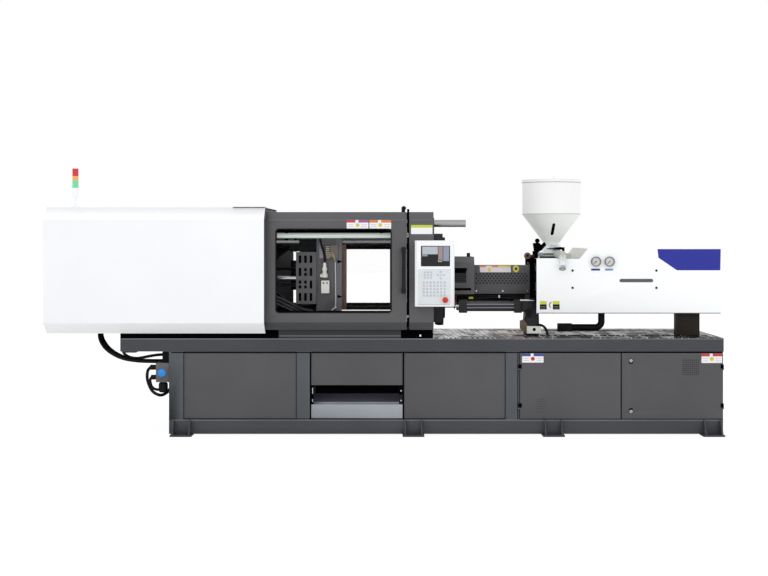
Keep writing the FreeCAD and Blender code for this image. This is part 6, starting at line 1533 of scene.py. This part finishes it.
@dataclass
class Hydraulics(SubAssembly):
    """Blocks and hoses at the clamp's end."""

    def build(self) -> None:
        """Dresses the blocks, adds the valve's cap and coils and lays the hoses."""
        self.recast("hydraulic_blocks", VALVE)
        self.valve_trim()
        self.hose("clamp_hose_front", 0.030, 0.922, (
            (-1.981, -0.095, 0.824), (-2.041, -0.095, 0.824), (-2.105, -0.110, 0.811),
            (-2.148, -0.145, 0.774), (-2.163, -0.195, 0.724), (-2.140, -0.245, 0.668),
            (-2.080, -0.290, 0.606), (-1.969, -0.320, 0.551), (-1.845, -0.322, 0.532),
            (-1.720, -0.318, 0.529), (-1.610, -0.318, 0.529)))
        self.hose("clamp_hose_rear", 0.030, 0.917, (
            (-1.981, -0.045, 0.824), (-2.041, -0.045, 0.824), (-2.104, -0.054, 0.813),
            (-2.150, -0.085, 0.776), (-2.164, -0.132, 0.724), (-2.135, -0.178, 0.668),
            (-2.076, -0.225, 0.605), (-1.968, -0.258, 0.549), (-1.850, -0.268, 0.529),
            (-1.730, -0.262, 0.526), (-1.610, -0.262, 0.526)))
        self.hose("valve_hose", 0.022, 0.751, (
            (-1.981, 0.095, 0.790), (-1.981, 0.095, 0.734), (-1.998, 0.080, 0.678),
            (-2.022, 0.038, 0.626), (-2.022, -0.030, 0.580), (-1.975, -0.103, 0.546),
            (-1.890, -0.160, 0.533), (-1.797, -0.199, 0.554), (-1.703, -0.212, 0.571),
            (-1.610, -0.212, 0.571)))

    def valve_trim(self) -> None:
        """Blue cap, black coils and the formed drain pipe round the valve block."""
        centre = (-1.637, -0.510, 0.463)
        cap = Shape().turn([(0.019, -0.015), (0.026, -0.012), (0.029, -0.006), (0.030, 0.0)],
                           centre, "Y", 32)
        cap.turn([(0.009, -0.019), (0.011, -0.015)], centre, "Y")
        self.add("valve_cap", cap, BLUE_CAP)
        coils = Shape()
        for x, z, length, radius in ((-1.735, 0.497, 0.048, 0.019), (-1.728, 0.424, 0.041, 0.018)):
            coils.turn([(radius * 0.8, 0), (radius, 0.004), (radius, length - 0.004),
                        (radius * 0.8, length)], (x, -0.440, z), "X")
        coils.turn([(0.026, 0), (0.034, 0.010), (0.034, 0.062), (0.020, 0.078)],
                   (-1.640, -0.430, 0.313), "Z")
        coils.box((-1.652, -0.398, 0.534), (-1.586, -0.353, 0.606))
        coils.tube([(-1.730, -0.440, 0.497), (-1.752, -0.440, 0.472), (-1.757, -0.438, 0.418),
                    (-1.742, -0.434, 0.360), (-1.712, -0.428, 0.312), (-1.662, -0.415, 0.288),
                    (-1.617, -0.398, 0.308), (-1.588, -0.385, 0.345)], 0.0115, 14)
        coils.tube([(-1.725, -0.440, 0.424), (-1.735, -0.438, 0.398), (-1.722, -0.434, 0.352),
                    (-1.690, -0.432, 0.332), (-1.660, -0.430, 0.335)], 0.010, 12)
        self.add("valve_coils", coils, RUBBER)
        ends = Shape()
        for y, z, radius in ((-0.318, 0.529, 0.0165), (-0.262, 0.526, 0.0165),
                             (-0.212, 0.571, 0.0125)):
            ends.lathe([(radius, 0), (radius + 0.002, 0.002), (radius + 0.002, 0.030),
                        (radius, 0.032), (radius, 0)], (-1.664, y, z), "X", 24)
            ends.prism(circle(y, z, radius + 0.005, 6), "X", -1.631, -1.612)
        self.add("hose_ferrules", ends, CHROME)

    def hose(self, node: str, diameter: float, length: float, route: Points) -> None:
        """Lays one hose as a smooth line along its route.

        Args:
            node: the CAD node that it stands for.
            diameter: across the hose.
            length: from end to end; not used.
            route: its control points.
        """
        curve = bpy.data.curves.new(node + "_line", "CURVE")
        curve.dimensions = "3D"
        line = curve.splines.new("NURBS")
        line.points.add(len(route) - 1)
        line.points.foreach_set("co", np.column_stack((route, np.ones(len(route)))).ravel())
        line.order_u = 3
        line.use_endpoint_u = True
        line.resolution_u = 10
        curve.bevel_depth = diameter / 2
        curve.bevel_resolution = 4
        curve.use_fill_caps = True
        curve.materials.append(RUBBER.material())
        piece = put(node + "_laid", curve)
        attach(piece, "machine")
        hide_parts(node)
        self.made.append(piece.name)


# ------------------------------------------------------------------ studio

@dataclass
class Studio:
    """The pale room, its lamps and the camera."""
    ambient: float = 1.0
    lamps: Sequence[tuple] = (((-4.5, -7.5, 6.0), 5.0, 62.0), ((5.5, -7.0, 4.5), 4.0, 36.0))
    aim: Numbers = (0, 0, 1.0)
    floor_half: float = 40
    floor_grey: float = 0.90
    floor_seen: float = 0.15
    floor_light: float = 0.93
    eye: Numbers = (-0.014, -10.08, 1.470)
    lens: float = 61.4
    shift: float = -0.069

    def world(self) -> None:
        """White where the camera, gloss and glass look, a plain ambient elsewhere."""
        world = bpy.data.worlds.new("studio")
        bpy.context.scene.world = world
        graph = Graph(world, "World")
        path = graph.node("ShaderNodeLightPath").outputs
        seen = path["Is Camera Ray"]
        for name in ("Is Glossy Ray", "Is Transmission Ray"):
            seen = graph.node("ShaderNodeMath", {"operation": "MAXIMUM"},
                              {0: seen, 1: path[name]}).outputs[0]
        dim, white = (graph.node("ShaderNodeBackground", inputs={0: (1, 1, 1), 1: strength})
                      for strength in (self.ambient, 1.0))
        graph.show(graph.node("ShaderNodeMixShader", inputs={0: seen, 1: dim.outputs[0],
                                                             2: white.outputs[0]}))

    def floor(self) -> None:
        """A pale floor that shows white to the camera and keeps a soft shadow."""
        graph = Graph(bpy.data.materials.new("floor"))
        path = graph.node("ShaderNodeLightPath")
        matt, dim = (graph.node("ShaderNodeBsdfDiffuse", inputs={"Color": (grey, grey, grey)})
                     for grey in (self.floor_grey, self.floor_seen))
        light = graph.node("ShaderNodeEmission", inputs={"Strength": self.floor_light})
        both = graph.node("ShaderNodeAddShader", inputs={0: dim.outputs[0], 1: light.outputs[0]})
        graph.show(graph.node("ShaderNodeMixShader", inputs={
            0: path.outputs["Is Camera Ray"], 1: matt.outputs[0], 2: both.outputs[0]}))
        half = self.floor_half
        mesh = bpy.data.meshes.new("floor")
        mesh.from_pydata([(-half, -half, 0), (half, -half, 0), (half, half, 0), (-half, half, 0)],
                         [], [(0, 1, 2, 3)])
        mesh.materials.append(graph.owner)
        ground = put("floor", mesh)

    def lights(self) -> None:
        """Large soft lamps aimed at the middle of the machine."""
        for index, (place, size, power) in enumerate(self.lamps):
            data = bpy.data.lights.new(f"softbox_{index}", "AREA")
            data.size = size
            data.energy = power
            lamp = put(data.name, data)
            lamp.location = place
            ahead = Vector(self.aim) - Vector(place)
            lamp.rotation_euler = ahead.to_track_quat("-Z", "Y").to_euler()

    def camera(self) -> None:
        """Level, square to the machine's front, at the photograph's framing."""
        data = bpy.data.cameras.new("camera")
        data.lens = self.lens
        data.sensor_width = 36
        data.shift_y = self.shift
        data.clip_end = 200
        view = put("camera", data)
        view.location = self.eye
        view.rotation_euler = (math.pi / 2, 0, 0)
        bpy.context.scene.camera = view
        bpy.context.scene.view_settings.view_transform = "Standard"

    def build(self) -> None:
        """Sets up the whole studio."""
        self.world()
        self.floor()
        self.lights()
        self.camera()


def main() -> None:
    """Builds the studio and every sub-assembly."""
    logging.basicConfig(level=logging.INFO, format="%(name)s %(message)s")
    Studio().build()
    for group in (Base(), Clamp(), Guards(), SignalTower(), OperatorPanel(), Injection(),
                  Hydraulics()):
        group.report()


if __name__ == "__main__":
    main()
